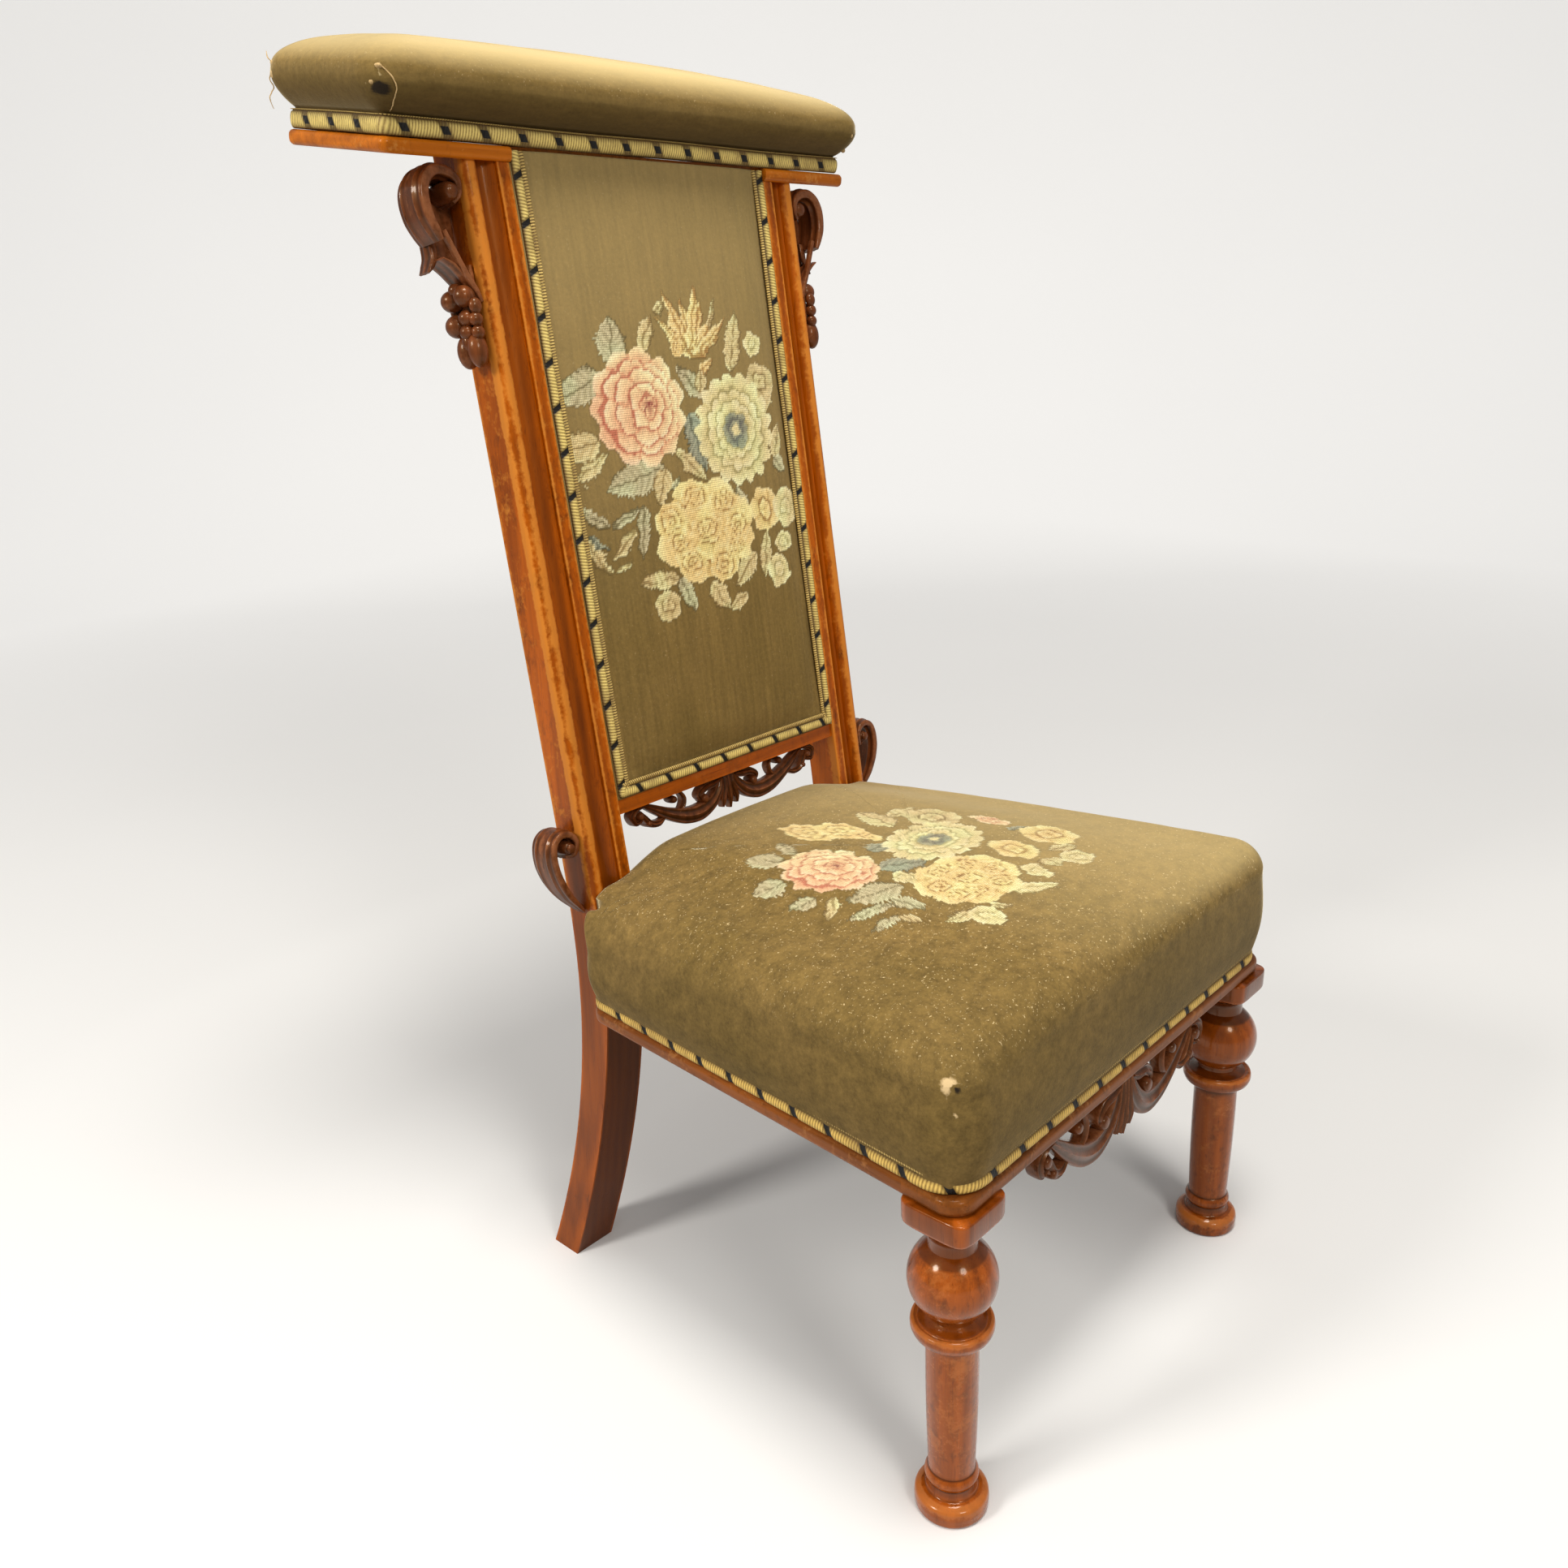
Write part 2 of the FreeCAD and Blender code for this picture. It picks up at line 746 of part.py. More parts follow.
def crest_bracket():
    """Right bracket: scroll, flared leaf, stem and three tiers of berries on the post's side."""
    front = bracket_front
    depth = bracket_depth
    reach = bracket_reach
    leaf_top = -bracket_scroll_drop
    leaf_foot = -bracket_leaf_drop
    foot = -bracket_drop
    leaf = prism([
        V(reach * 0.3, front, leaf_top + bracket_band), V(reach * 0.66, front, leaf_top + bracket_band),
        V(reach * 0.58, front, (leaf_top + leaf_foot) / 2), V(reach * 0.76, front, leaf_foot),
        V(reach * 0.5, front, leaf_foot + bracket_band / 2), V(reach * 0.38, front, leaf_top),
    ], V(0, depth, 0))
    stem = prism([
        V(reach * 0.3, front, leaf_top + bracket_band), V(reach * 0.52, front, leaf_top),
        V(reach * 0.5, front, leaf_foot), V(reach * 0.25, front, -berry_first_drop),
        V(0, front, -berry_first_drop), V(0, front, leaf_foot - bracket_band),
        V(reach * 0.24, front, leaf_foot),
    ], V(0, depth, 0))
    low = V(0, front + bracket_backing / 2, foot + berry_radius * 0.6)
    high = V(bracket_backing, front + depth - bracket_backing / 2, leaf_foot)
    pieces = hook(0, reach, bracket_scroll_drop, bracket_band)
    pieces += [leaf, stem, box_between(low, high)]
    for tier in range(berry_tiers):
        for place in range(berries_across):
            across = front + berry_radius + place * (depth - berry_radius * 2) / (berries_across - 1)
            level = -berry_first_drop - tier * berry_pitch
            centre = V(bracket_backing * 1.7, across, level)
            pieces.append(Part.makeSphere(berry_radius, centre))
    carved = outward_of_post(fused(pieces))
    return back_frame(carved).cut(above_crest())


def seat_scroll():
    """Right scroll at seat level, on the post's outer side."""
    carved = fused(hook(-scroll_top_drop, scroll_reach, scroll_drop, scroll_band))
    return back_frame(outward_of_post(carved))


def apron(span, drop, thickness):
    """Pierced pair of scrolls with a fan between them, hung from a thin fillet at height zero."""
    band = drop * apron_band_share
    half = span / 2
    push = V(0, thickness, 0)
    cup_radius = drop * 0.36
    cup = V(half * 0.37, 0, cup_radius + band * 0.9 - drop)
    inner = cup.x - cup_radius
    outer = cup.x + cup_radius
    volute = drop * 0.17
    pieces = [
        box_between(V(0, 0, -apron_fillet), V(half, thickness, 0)),
        ring_strip(cup, cup_radius, band, 180, 360, thickness),
        box_between(V(inner - band / 2, 0, cup.z), V(inner + band / 2, thickness, 0)),
        prism([V(outer - band / 2, 0, cup.z), V(outer + band / 2, 0, cup.z),
               V(half * 0.74, 0, 0), V(half * 0.74 - band * 1.6, 0, 0)], push),
        disc(V(cup.x - cup_radius * 0.2, 0, cup.z + band * 0.2), band * 0.8, thickness),
        box_between(V(inner, 0, cup.z), V(cup.x - cup_radius * 0.2, thickness, cup.z + band * 0.7)),
        ring_strip(V(half * 0.84, 0, -volute - band * 0.3), volute, band * 0.8, 0, 360 * 0.97, thickness),
        prism([V(half * 0.86, 0, 0), V(half, 0, 0), V(half * 0.99, 0, -drop * 0.26),
               V(half * 0.9, 0, -drop * 0.18)], push),
    ]
    pieces += [mirrored(piece) for piece in pieces]
    for turn, length_share in ((-28, 0.84), (0, 1.0), (28, 0.84)):
        way = V(math.sin(math.radians(turn)), 0, -math.cos(math.radians(turn)))
        across = V(way.z, 0, -way.x)
        tip = way * (drop * length_share - band * 0.8)
        root = band * 0.45
        rim = band * 0.8
        petal = prism([across * root, across * rim + tip, tip - across * rim, across * -root], push)
        pieces += [petal, disc(tip, rim, thickness)]
    body = fused(pieces)
    low = V(-half, -cut_overrun, -drop)
    return body.common(box_between(low, V(half, thickness + cut_overrun, 0)))


def back_apron():
    """Apron under the lower rail of the back."""
    shape = apron(back_apron_span, back_apron_drop, back_apron_thickness)
    shape.translate(V(0, back_apron_setback, -lower_rail_drop))
    return back_frame(shape)


def front_apron():
    """Apron under the front of the seat frame."""
    shape = apron(front_apron_span, front_apron_drop, front_apron_thickness)
    shape.translate(V(0, front_apron_setback - seat_front_setback, seat_frame_height))
    return shape


# Front legs

def leg_axis():
    """Where the right leg's axis stands on the floor."""
    setback = seat_front_setback - leg_front_inset
    return V(seat_half_width(setback, leg_side_inset), -setback, 0)


def leg_turning():
    """Turned part of a leg, as one revolved outline from the sole up to the block."""
    collar_foot = collar_top_height - collar_height
    ring_foot = ring_top_height - ring_height
    ball_low = ball_height - math.sqrt(ball_radius ** 2 - ball_neck_radius ** 2)
    ball_high = ball_height + math.sqrt(ball_radius ** 2 - ball_neck_radius ** 2)
    block_foot = seat_frame_height - block_height
    dish_foot = block_foot - block_dish_drop

    def at(radius, height):
        return V(radius, 0, height)

    outline = Part.Wire([
        line(at(0, 0), at(foot_sole_radius, 0)),
        arc(at(foot_sole_radius, 0), at(foot_radius - foot_edge * 0.2, foot_edge * 0.4),
            at(foot_radius, foot_edge)),
        line(at(foot_radius, foot_edge), at(foot_radius, foot_top_height - foot_edge * 2)),
        arc(at(foot_radius, foot_top_height - foot_edge * 2),
            at(foot_radius - foot_edge * 0.6, foot_top_height - foot_edge * 0.6),
            at(foot_radius - foot_edge * 2, foot_top_height)),
        line(at(foot_radius - foot_edge * 2, foot_top_height), at(ankle_radius, foot_top_height)),
        line(at(ankle_radius, foot_top_height), at(ankle_radius, ring_foot)),
        arc(at(ankle_radius, ring_foot), at(ring_radius, (ring_foot + ring_top_height) / 2),
            at(shaft_bottom_radius, ring_top_height)),
        line(at(shaft_bottom_radius, ring_top_height), at(shaft_top_radius, collar_foot)),
        arc(at(shaft_top_radius, collar_foot), at(collar_radius * 0.93, collar_foot + collar_height * 0.3),
            at(collar_radius, collar_foot + collar_height * 0.65)),
        arc(at(collar_radius, collar_foot + collar_height * 0.65),
            at(collar_radius * 0.985, collar_top_height - collar_height * 0.1),
            at(collar_radius * 0.92, collar_top_height)),
        line(at(collar_radius * 0.92, collar_top_height), at(ball_neck_radius, collar_top_height)),
        line(at(ball_neck_radius, collar_top_height), at(ball_neck_radius, ball_low)),
        arc(at(ball_neck_radius, ball_low), at(ball_radius, ball_height), at(ball_neck_radius, ball_high)),
        line(at(ball_neck_radius, ball_high), at(neck_radius, neck_height)),
        arc(at(neck_radius, neck_height), at((neck_radius + block_dish_radius) * 0.47,
            (neck_height + dish_foot) / 2), at(block_dish_radius * 0.86, dish_foot)),
        arc(at(block_dish_radius * 0.86, dish_foot),
            at(block_dish_radius * 0.97, (dish_foot + block_foot) / 2),
            at(block_dish_radius, block_foot)),
        line(at(block_dish_radius, block_foot), at(0, block_foot)),
        line(at(0, block_foot), at(0, 0)),
    ])
    turning = Part.Face(outline).revolve(V(0, 0, 0), V(0, 0, 1), 360)
    turning.translate(leg_axis())
    return turning


def corner_post_box():
    """Lowest and highest corners of the right leg's square post inside the seat frame."""
    axis = leg_axis()
    outer = seat_half_width(seat_front_setback - rail_inset, rail_inset) - corner_post_margin
    front = rail_inset - seat_front_setback
    low = V(axis.x - block_size / 2, front, seat_frame_height)
    return low, V(outer, axis.y + block_size / 2, rail_top_height)


def front_leg_blank():
    """Right leg: turning, block with rounded corners and the square post above it."""
    axis = leg_axis()
    half = block_size / 2
    block_foot = seat_frame_height - block_height
    corners = [axis + V(x * half, y * half, block_foot) for x, y in ((-1, -1), (1, -1), (1, 1), (-1, 1))]
    block = rounded_prism(corners, [block_corner_radius] * 4, V(0, 0, block_height))
    low, high = corner_post_box()
    return fused([leg_turning(), block, box_between(low, high)])


# Seat frame

def side_rail_body():
    """Right rail between the leg's post and the rear post, running with the seat's taper."""
    front = -corner_post_box()[1].y
    rear = seat_rear_setback - post_depth / 2
    corners = [
        V(seat_half_width(front, rail_inset), -front, seat_frame_height),
        V(seat_half_width(rear, rail_inset), -rear, seat_frame_height),
        V(seat_half_width(rear, rail_inset + rail_thickness), -rear, seat_frame_height),
        V(seat_half_width(front, rail_inset + rail_thickness), -front, seat_frame_height),
    ]
    return prism(corners, V(0, 0, rail_height)).cut(post_line(0))


def side_tenon_x():
    """Where the middle of the right rail's front tenon lies across the chair."""
    return seat_half_width(-corner_post_box()[1].y, rail_inset + rail_thickness / 2)


def side_tenons(slack):
    """Tenons of the right rail, one into the leg's post and one into the rear post."""
    tenons = []
    low_z = seat_frame_height + seat_tenon_shoulder - slack
    high_z = rail_top_height - seat_tenon_shoulder + slack
    half = seat_tenon_thickness / 2 + slack
    front = -corner_post_box()[1].y
    front_x = side_tenon_x()
    low = V(front_x - half, -front - seat_tenon_length - slack, low_z)
    tenons.append(box_between(low, V(front_x + half, cut_overrun - front, high_z)))
    rear_x = post_outer - rear_tenon_cheek - seat_tenon_thickness / 2
    low = V(rear_x - half, -seat_rear_setback - cut_overrun, low_z)
    high = V(rear_x + half, seat_tenon_length - seat_rear_setback + slack, high_z)
    tenons.append(box_between(low, high))
    return tenons


def seat_rail_side():
    """Right side rail with its tenons."""
    return fused([side_rail_body()] + side_tenons(0))


def front_tenons(slack):
    """Tenons of the front rail, into both legs' posts, ending short of the side rails' tenons."""
    tenons = []
    middle = rail_inset + rail_thickness / 2 - seat_front_setback
    low_z = seat_frame_height + seat_tenon_shoulder - slack
    high_z = rail_top_height - seat_tenon_shoulder + slack
    reach = side_tenon_x() - seat_tenon_thickness / 2 - tenon_gap + slack
    half = seat_tenon_thickness / 2 + slack
    low = V(-reach, middle - half, low_z)
    tenons.append(box_between(low, V(reach, middle + half, high_z)))
    return tenons


def seat_rail_front():
    """Front rail with its tenons."""
    inner = corner_post_box()[0].x
    front = rail_inset - seat_front_setback
    low = V(-inner, front, seat_frame_height)
    body = box_between(low, V(inner, front + rail_thickness, rail_top_height))
    return fused([body] + front_tenons(0))


def back_rail_tenon(slack):
    """Tenon of the rear seat rail, through to both rear posts."""
    middle = -back_seat_rail_setback - rail_thickness / 2
    half = seat_tenon_thickness / 2 + slack
    reach = post_inner + rear_tenon_length + slack
    low = V(-reach, middle - half, seat_frame_height + seat_tenon_shoulder - slack)
    return box_between(low, V(reach, middle + half, rail_top_height - seat_tenon_shoulder + slack))


def seat_rail_back():
    """Rear seat rail between the posts."""
    low = V(-post_inner, -back_seat_rail_setback - rail_thickness, seat_frame_height)
    body = box_between(low, V(post_inner, -back_seat_rail_setback, rail_top_height))
    return fused([body, back_rail_tenon(0)])


def moulding_ring():
    """The rounded lip as one ring, before it is cut into a front strip and two side strips."""
    corners = seat_corners(0, seat_rear_setback - lip_overlap, seat_frame_height)
    outer = rounded_prism(corners, [moulding_corner_radius] * 4, V(0, 0, moulding_height))
    outline = [edge for edge in outer.Edges if edge.BoundBox.ZLength < cloth_clearance]
    outer = outer.makeFillet(moulding_round, outline)
    inner = prism(seat_corners(rail_inset, -cut_overrun, seat_frame_height), V(0, 0, moulding_height))
    return outer.cut(inner)


def seat_mouldings():
    """Front strip with both rounded corners, then the right side strip up to the rear post."""
    joint = block_size / 2 + leg_front_inset - seat_front_setback
    ring = moulding_ring()
    low = V(-long_reach, -long_reach, 0)
    front = ring.common(box_between(low, V(long_reach, joint, long_reach)))
    rear = -seat_rear_setback - lip_overlap
    side = ring.common(box_between(V(post_outer, joint, 0), V(long_reach, rear, long_reach)))
    low_corner, high_corner = corner_post_box()
    proud = box_between(low_corner, high_corner)
    front = front.cut(proud).cut(mirrored(proud))
    return front, side


def corner_brace(corner, inward_x, inward_y):
    """Triangular block set into one inner corner of the seat frame."""
    top = rail_top_height - brace_drop
    base = V(corner.x, corner.y, top - brace_height)
    points = [base, base + V(inward_x * brace_leg, 0, 0), base + V(0, inward_y * brace_leg, 0)]
    return prism(points, V(0, 0, brace_height))


def frame_insides():
    """All rails and posts of the seat frame, to trim the blocks against."""
    right = [side_rail_body(), front_leg_blank(), rear_post_blank()]
    left = [mirrored(shape) for shape in right]
    return right + left + [seat_rail_front(), seat_rail_back()]


def corner_braces():
    """Four blocks, trimmed to the rails and posts that they are glued to."""
    front = rail_inset + rail_thickness - seat_front_setback
    rear = -back_seat_rail_setback - rail_thickness
    blocks = []
    for side in (-1, 1):
        front_half = seat_half_width(-front, rail_inset + rail_thickness)
        blocks.append(corner_brace(V(side * front_half, front, 0), -side, 1))
        rear_half = seat_half_width(-rear, rail_inset + rail_thickness)
        blocks.append(corner_brace(V(side * rear_half, rear, 0), -side, -1))
    trimmed = []
    for block in blocks:
        for shape in frame_insides():
            block = block.cut(shape)
        trimmed.append(max(block.Solids, key=lambda solid: solid.Volume))
    return trimmed


def brace_screw(block, slack):
    """Screw through the middle of a corner block's long face, towards the frame's corner."""
    centre = block.CenterOfMass
    seat_centre = V(0, -web_centre_setback, centre.z)
    way = centre - seat_centre
    way = V(math.copysign(1, way.x), math.copysign(1, way.y), 0).normalize()
    start = centre + way * (brace_leg * 0.12 - brace_leg * 0.354)
    shank_length = brace_screw_length * 0.42 + slack
    head = Part.makeCylinder(brace_screw_head_radius + slack, brace_screw_head_depth + slack, start, way)
    shank = Part.makeCylinder(brace_screw_radius + slack, shank_length, start, way)
    return fused([head, shank])


# Seat springs, webbing and cloths

def seat_webbing():
    """Webbing tacked under the seat frame: three strips along, and three across below them."""
    strips = []
    top = seat_frame_height
    front = rail_inset + rail_thickness - seat_front_setback - web_lap
    rear = web_lap - back_seat_rail_setback - rail_thickness
    for step in (-1, 0, 1):
        middle = step * web_pitch_across
        low = V(middle - web_width / 2, front, top - web_thickness)
        strips.append(box_between(low, V(middle + web_width / 2, rear, top)))
        setback = web_centre_setback + step * web_pitch_along
        half = seat_half_width(setback, rail_inset + rail_thickness) + web_lap
        low = V(-half, -setback - web_width / 2, top - web_thickness * 2)
        strips.append(box_between(low, V(half, -setback + web_width / 2, top - web_thickness)))
    return Part.makeCompound(strips)


def spring_point(turn_share):
    """Point on the spring's centre line, from its foot at share 0 to its head at share 1."""
    height = hessian_top() - seat_frame_height - spring_wire - spring_seat_gap - cloth_clearance
    waist = (2 * turn_share - 1) ** 2
    radius = spring_waist_radius + (spring_end_radius - spring_waist_radius) * waist
    turn = 2 * math.pi * spring_turns * turn_share
    return V(radius * math.cos(turn), radius * math.sin(turn), height * turn_share)


def spring_heading(turn_share):
    """Direction of the spring's centre line, from two points close on either side."""
    step = 1e-4
    return (spring_point(turn_share + step) - spring_point(turn_share - step)).normalize()


def arc_along(start, heading, finish):
    """Arc from start along heading to finish, as part of a pair."""
    return tangent_arc(start, V(heading), finish)


def spring_path():
    """The coil as pairs of arcs, one pair for each quarter turn."""
    quarters = spring_turns * 4
    edges = []
    for quarter in range(quarters):
        start = spring_point(quarter / quarters)
        finish = spring_point((quarter + 1) / quarters)
        leave = spring_heading(quarter / quarters)
        arrive = spring_heading((quarter + 1) / quarters)
        chord = finish - start
        spread = leave + arrive
        second = 2 * (leave.dot(arrive) - 1)
        first = -2 * chord.dot(spread)
        last = chord.dot(chord)
        reach = (-first - math.sqrt(first * first - 4 * second * last)) / (2 * second)
        meet = (start + leave * reach + finish - arrive * reach) * 0.5
        edges.append(arc_along(start, leave, meet))
        edges.append(arc_along(finish, arrive * -1, meet))
    return Part.Wire(Part.sortEdges(edges)[0])


def hessian_top():
    """Height of the flat middle of the hessian's underside."""
    return rail_top_height + hessian_rise


def spring():
    """One waisted coil spring standing on the origin."""
    path = spring_path()
    start = path.Edges[0].valueAt(path.Edges[0].FirstParameter)
    ring = Part.Wire(Part.makeCircle(spring_wire / 2, spring_point(0), spring_heading(0)))
    if start.distanceToPoint(spring_point(0)) > spring_wire:
        ring = Part.Wire(Part.makeCircle(spring_wire / 2, spring_point(1), spring_heading(1)))
    return path.makePipeShell([ring], True, False)


def spring_places():
    """Where the springs stand: on the crossings of the webbing."""
    across = web_pitch_across
    along = web_pitch_along
    spots = [(-across, -along), (across, -along), (0, 0), (-across, along), (across, along)]
    return [V(x, y - web_centre_setback, 0) for x, y in spots]


def seat_springs():
    """Five springs between the webbing and the hessian."""
    lift = seat_frame_height + spring_wire / 2 + spring_seat_gap
    coils = []
    for place in spring_places():
        coil = spring()
        if place.x < 0:
            coil = mirrored(coil)
        coil.translate(place + V(0, 0, lift))
        coils.append(coil)
    return Part.makeCompound(coils)


def spring_gap():
    """Least distance between neighbouring turns of a spring, surface to surface."""
    samples = [spring_point(step / 400) for step in range(401)]
    apart = 400 // spring_turns // 2
    least = min(first.distanceToPoint(second)
                for index, first in enumerate(samples)
                for second in samples[index + apart:])
    return least - spring_wire


def dome(rim_inset, lift, top_lift):
    """Flat-topped rise over the seat frame, from the rails' top up to the springs' heads."""
    rear = back_seat_rail_setback + rim_inset - rail_inset
    low = seat_corners(rim_inset, rear, rail_top_height + lift)
    high = seat_corners(rim_inset + hessian_slope, rear + hessian_slope, hessian_top() + top_lift)
    wires = [Part.makePolygon(corners + corners[:1]) for corners in (low, high)]
    return Part.makeLoft(wires, True, True)


def spring_hessian():
    """Hessian over the springs, tacked round the top of the rails."""
    rim = rail_inset + hessian_rim
    shell = dome(rim, hessian_sheet, hessian_sheet).cut(dome(rim + hessian_sheet, 0, 0))
    rear = back_seat_rail_setback + hessian_rim
    outer = prism(seat_corners(rim, rear, rail_top_height), V(0, 0, hessian_sheet))
    inner_rim = rail_inset + rail_thickness - hessian_rim
    inner_rear = back_seat_rail_setback + rail_thickness - hessian_rim
    inner = prism(seat_corners(inner_rim, inner_rear, rail_top_height), V(0, 0, hessian_sheet))
    covered = dome(rim, 0, hessian_sheet)
    return fused([shell, outer.cut(inner).cut(covered.cut(shell).common(outer.common(inner)))])


def pad_wire(inset, height, tilt_share):
    """Outline of the seat pad with rounded corners, tilted down to the rear by a share of the drop."""
    corners = seat_corners(inset, pad_rear_setback + inset * 0.9, height)
    slope = pad_rear_drop * tilt_share / (seat_front_setback - pad_rear_setback)
    for corner in corners:
        corner.z -= (corner.y + web_centre_setback) * slope
    return rounded_wire(corners, [pad_front_radius, pad_front_radius, pad_rear_radius, pad_rear_radius])


def pad_stations():
    """Inset, height and tilt share of each level: upright sides, a rounded edge, then the crown."""
    foot = moulding_top_height + cloth_clearance
    middle = (foot + seat_gimp_height + pad_belly_height) / 2
    stations = [
        (pad_base_inset, foot, 0),
        (pad_base_inset, foot + seat_gimp_height, 0),
        ((pad_base_inset - pad_belly_swell) * 0.3, middle, 0.15),
        (-pad_belly_swell, pad_belly_height, 0.4),
    ]
    edge_height = seat_crown_height - pad_crown_rise - pad_shoulder_height
    for angle in (0, 30, 60, 90):
        turn = math.radians(angle)
        stations.append((pad_top_round * (1 - math.cos(turn)) - pad_belly_swell * math.cos(turn),
                         pad_shoulder_height + edge_height * math.sin(turn), 0.7 + 0.3 * math.sin(turn)))
    for step in range(1, pad_crown_levels + 1):
        share = step / pad_crown_levels
        stations.append((pad_top_round + pad_crown_reach * share,
                         seat_crown_height - pad_crown_rise * (1 - share) ** 2, 1))
    return stations


def rear_corner_cutter():
    """Outside of the pad's rear right corner, which curls in to meet the post's front face."""
    rear = cloth_clearance - seat_rear_setback
    start = post_outer + cloth_clearance
    side = seat_half_width(seat_rear_setback, 0)
    turn = pad_curl_radius
    slant = turn * math.sqrt(0.5)
    return Part.Face(Part.Wire([
        line(V(start, rear, 0), V(side - turn, rear, 0)),
        arc(V(side - turn, rear, 0), V(side - turn + slant, rear - turn + slant, 0),
            V(side, rear - turn, 0)),
        line(V(side, rear - turn, 0), V(long_reach, rear - turn, 0)),
        line(V(long_reach, rear - turn, 0), V(long_reach, long_reach, 0)),
        line(V(long_reach, long_reach, 0), V(start, long_reach, 0)),
        line(V(start, long_reach, 0), V(start, rear, 0)),
    ])).extrude(V(0, 0, long_reach))


def seat_pad():
    """Domed pad stuffed over the frame: drawn in at its foot, full at its belly, notched at the posts."""
    body = Part.makeLoft([pad_wire(*station) for station in pad_stations()], True, False)
    top = rail_top_height + hessian_sheet + cloth_clearance
    low = seat_corners(rail_inset - cloth_clearance, back_seat_rail_setback - cloth_clearance,
                       seat_frame_height)
    hollow = prism(low, V(0, 0, top - seat_frame_height))
    rise_over = dome(rail_inset + hessian_rim - cloth_clearance,
                     hessian_sheet + cloth_clearance, hessian_sheet + cloth_clearance * 2)
    body = body.cut(hollow).cut(rise_over)
    notch = post_line(cloth_clearance).common(
        box_between(V(post_inner - cloth_clearance, -long_reach, 0), V(long_reach, long_reach, long_reach)))
    curl = rear_corner_cutter()
    for cutter in (notch, mirrored(notch), curl, mirrored(curl)):
        body = body.cut(cutter)
    return max(body.Solids, key=lambda solid: solid.Volume)


def seat_gimp():
    """Braid round the front and sides of the seat pad's foot."""
    outer_inset = pad_base_inset - cloth_clearance - gimp_thickness
    low = moulding_top_height
    rear = seat_rear_setback + gimp_thickness
    push = V(0, 0, seat_gimp_height)
    open_rear = seat_rear_setback - cut_overrun * 3
    grow = gimp_thickness
    radius = pad_front_radius
    outer = rounded_prism(seat_corners(outer_inset, open_rear, low),
                          [radius + grow, radius + grow, grow, grow], push)
    inner = rounded_prism(seat_corners(outer_inset + grow, open_rear - cut_overrun, low),
                          [radius, radius, grow, grow], push)
    keep = box_between(V(-long_reach, -long_reach, 0), V(long_reach, -rear, long_reach))
    return outer.cut(inner).common(keep)


def dust_cloth():
    """Thin cloth that closes the seat frame from below."""
    top = seat_frame_height - web_thickness * 2
    corners = seat_corners(rail_inset + cloth_clearance, back_seat_rail_setback + cloth_clearance, top)
    inset_corners = seat_corners(dust_cloth_inset, back_seat_rail_setback + tack_margin, top)
    low = V(0, 0, -dust_cloth_thickness)
    sheet = prism(inset_corners, low)
    for shape in (front_leg_blank(), rear_post_blank()):
        grown_cut = shape.common(box_between(V(0, -long_reach, 0), V(long_reach, long_reach, corners[0].z)))
        sheet = sheet.cut(grown_cut).cut(mirrored(grown_cut))
    return max(sheet.Solids, key=lambda solid: solid.Volume)


def dust_cloth_tacks():
    """Round-headed tacks round the edge of the dust cloth."""
    level = seat_frame_height - web_thickness * 2 - dust_cloth_thickness
    inset = dust_cloth_inset + tack_margin
    heads = []
    front = -seat_front_setback + inset
    rear_setback = back_seat_rail_setback + tack_margin * 2
    clear = block_size / 2 + leg_side_inset + tack_margin
    half = seat_front_width / 2 - clear
    for step in range(tacks_per_side):
        share = step / (tacks_per_side - 1)
        spots = [
            V((2 * share - 1) * half, front, level),
            V((2 * share - 1) * (post_inner - tack_margin), -rear_setback, level),
        ]
        run_front = seat_front_setback - clear
        run_rear = seat_rear_setback + tack_margin * 2
        setback = run_front + (run_rear - run_front) * share
        for side in (-1, 1):
            spots.append(V(side * seat_half_width(setback, inset), -setback, level))
        for spot in spots:
            ball = Part.makeSphere(tack_radius * 1.4, spot + V(0, 0, tack_radius * 1.4 - tack_head))
            under = box_between(spot - V(tack_radius * 2, tack_radius * 2, tack_radius * 2),
                                spot + V(tack_radius * 2, tack_radius * 2, 0))
            heads.append(ball.common(under))
    return Part.makeCompound(heads)


# The whole chair

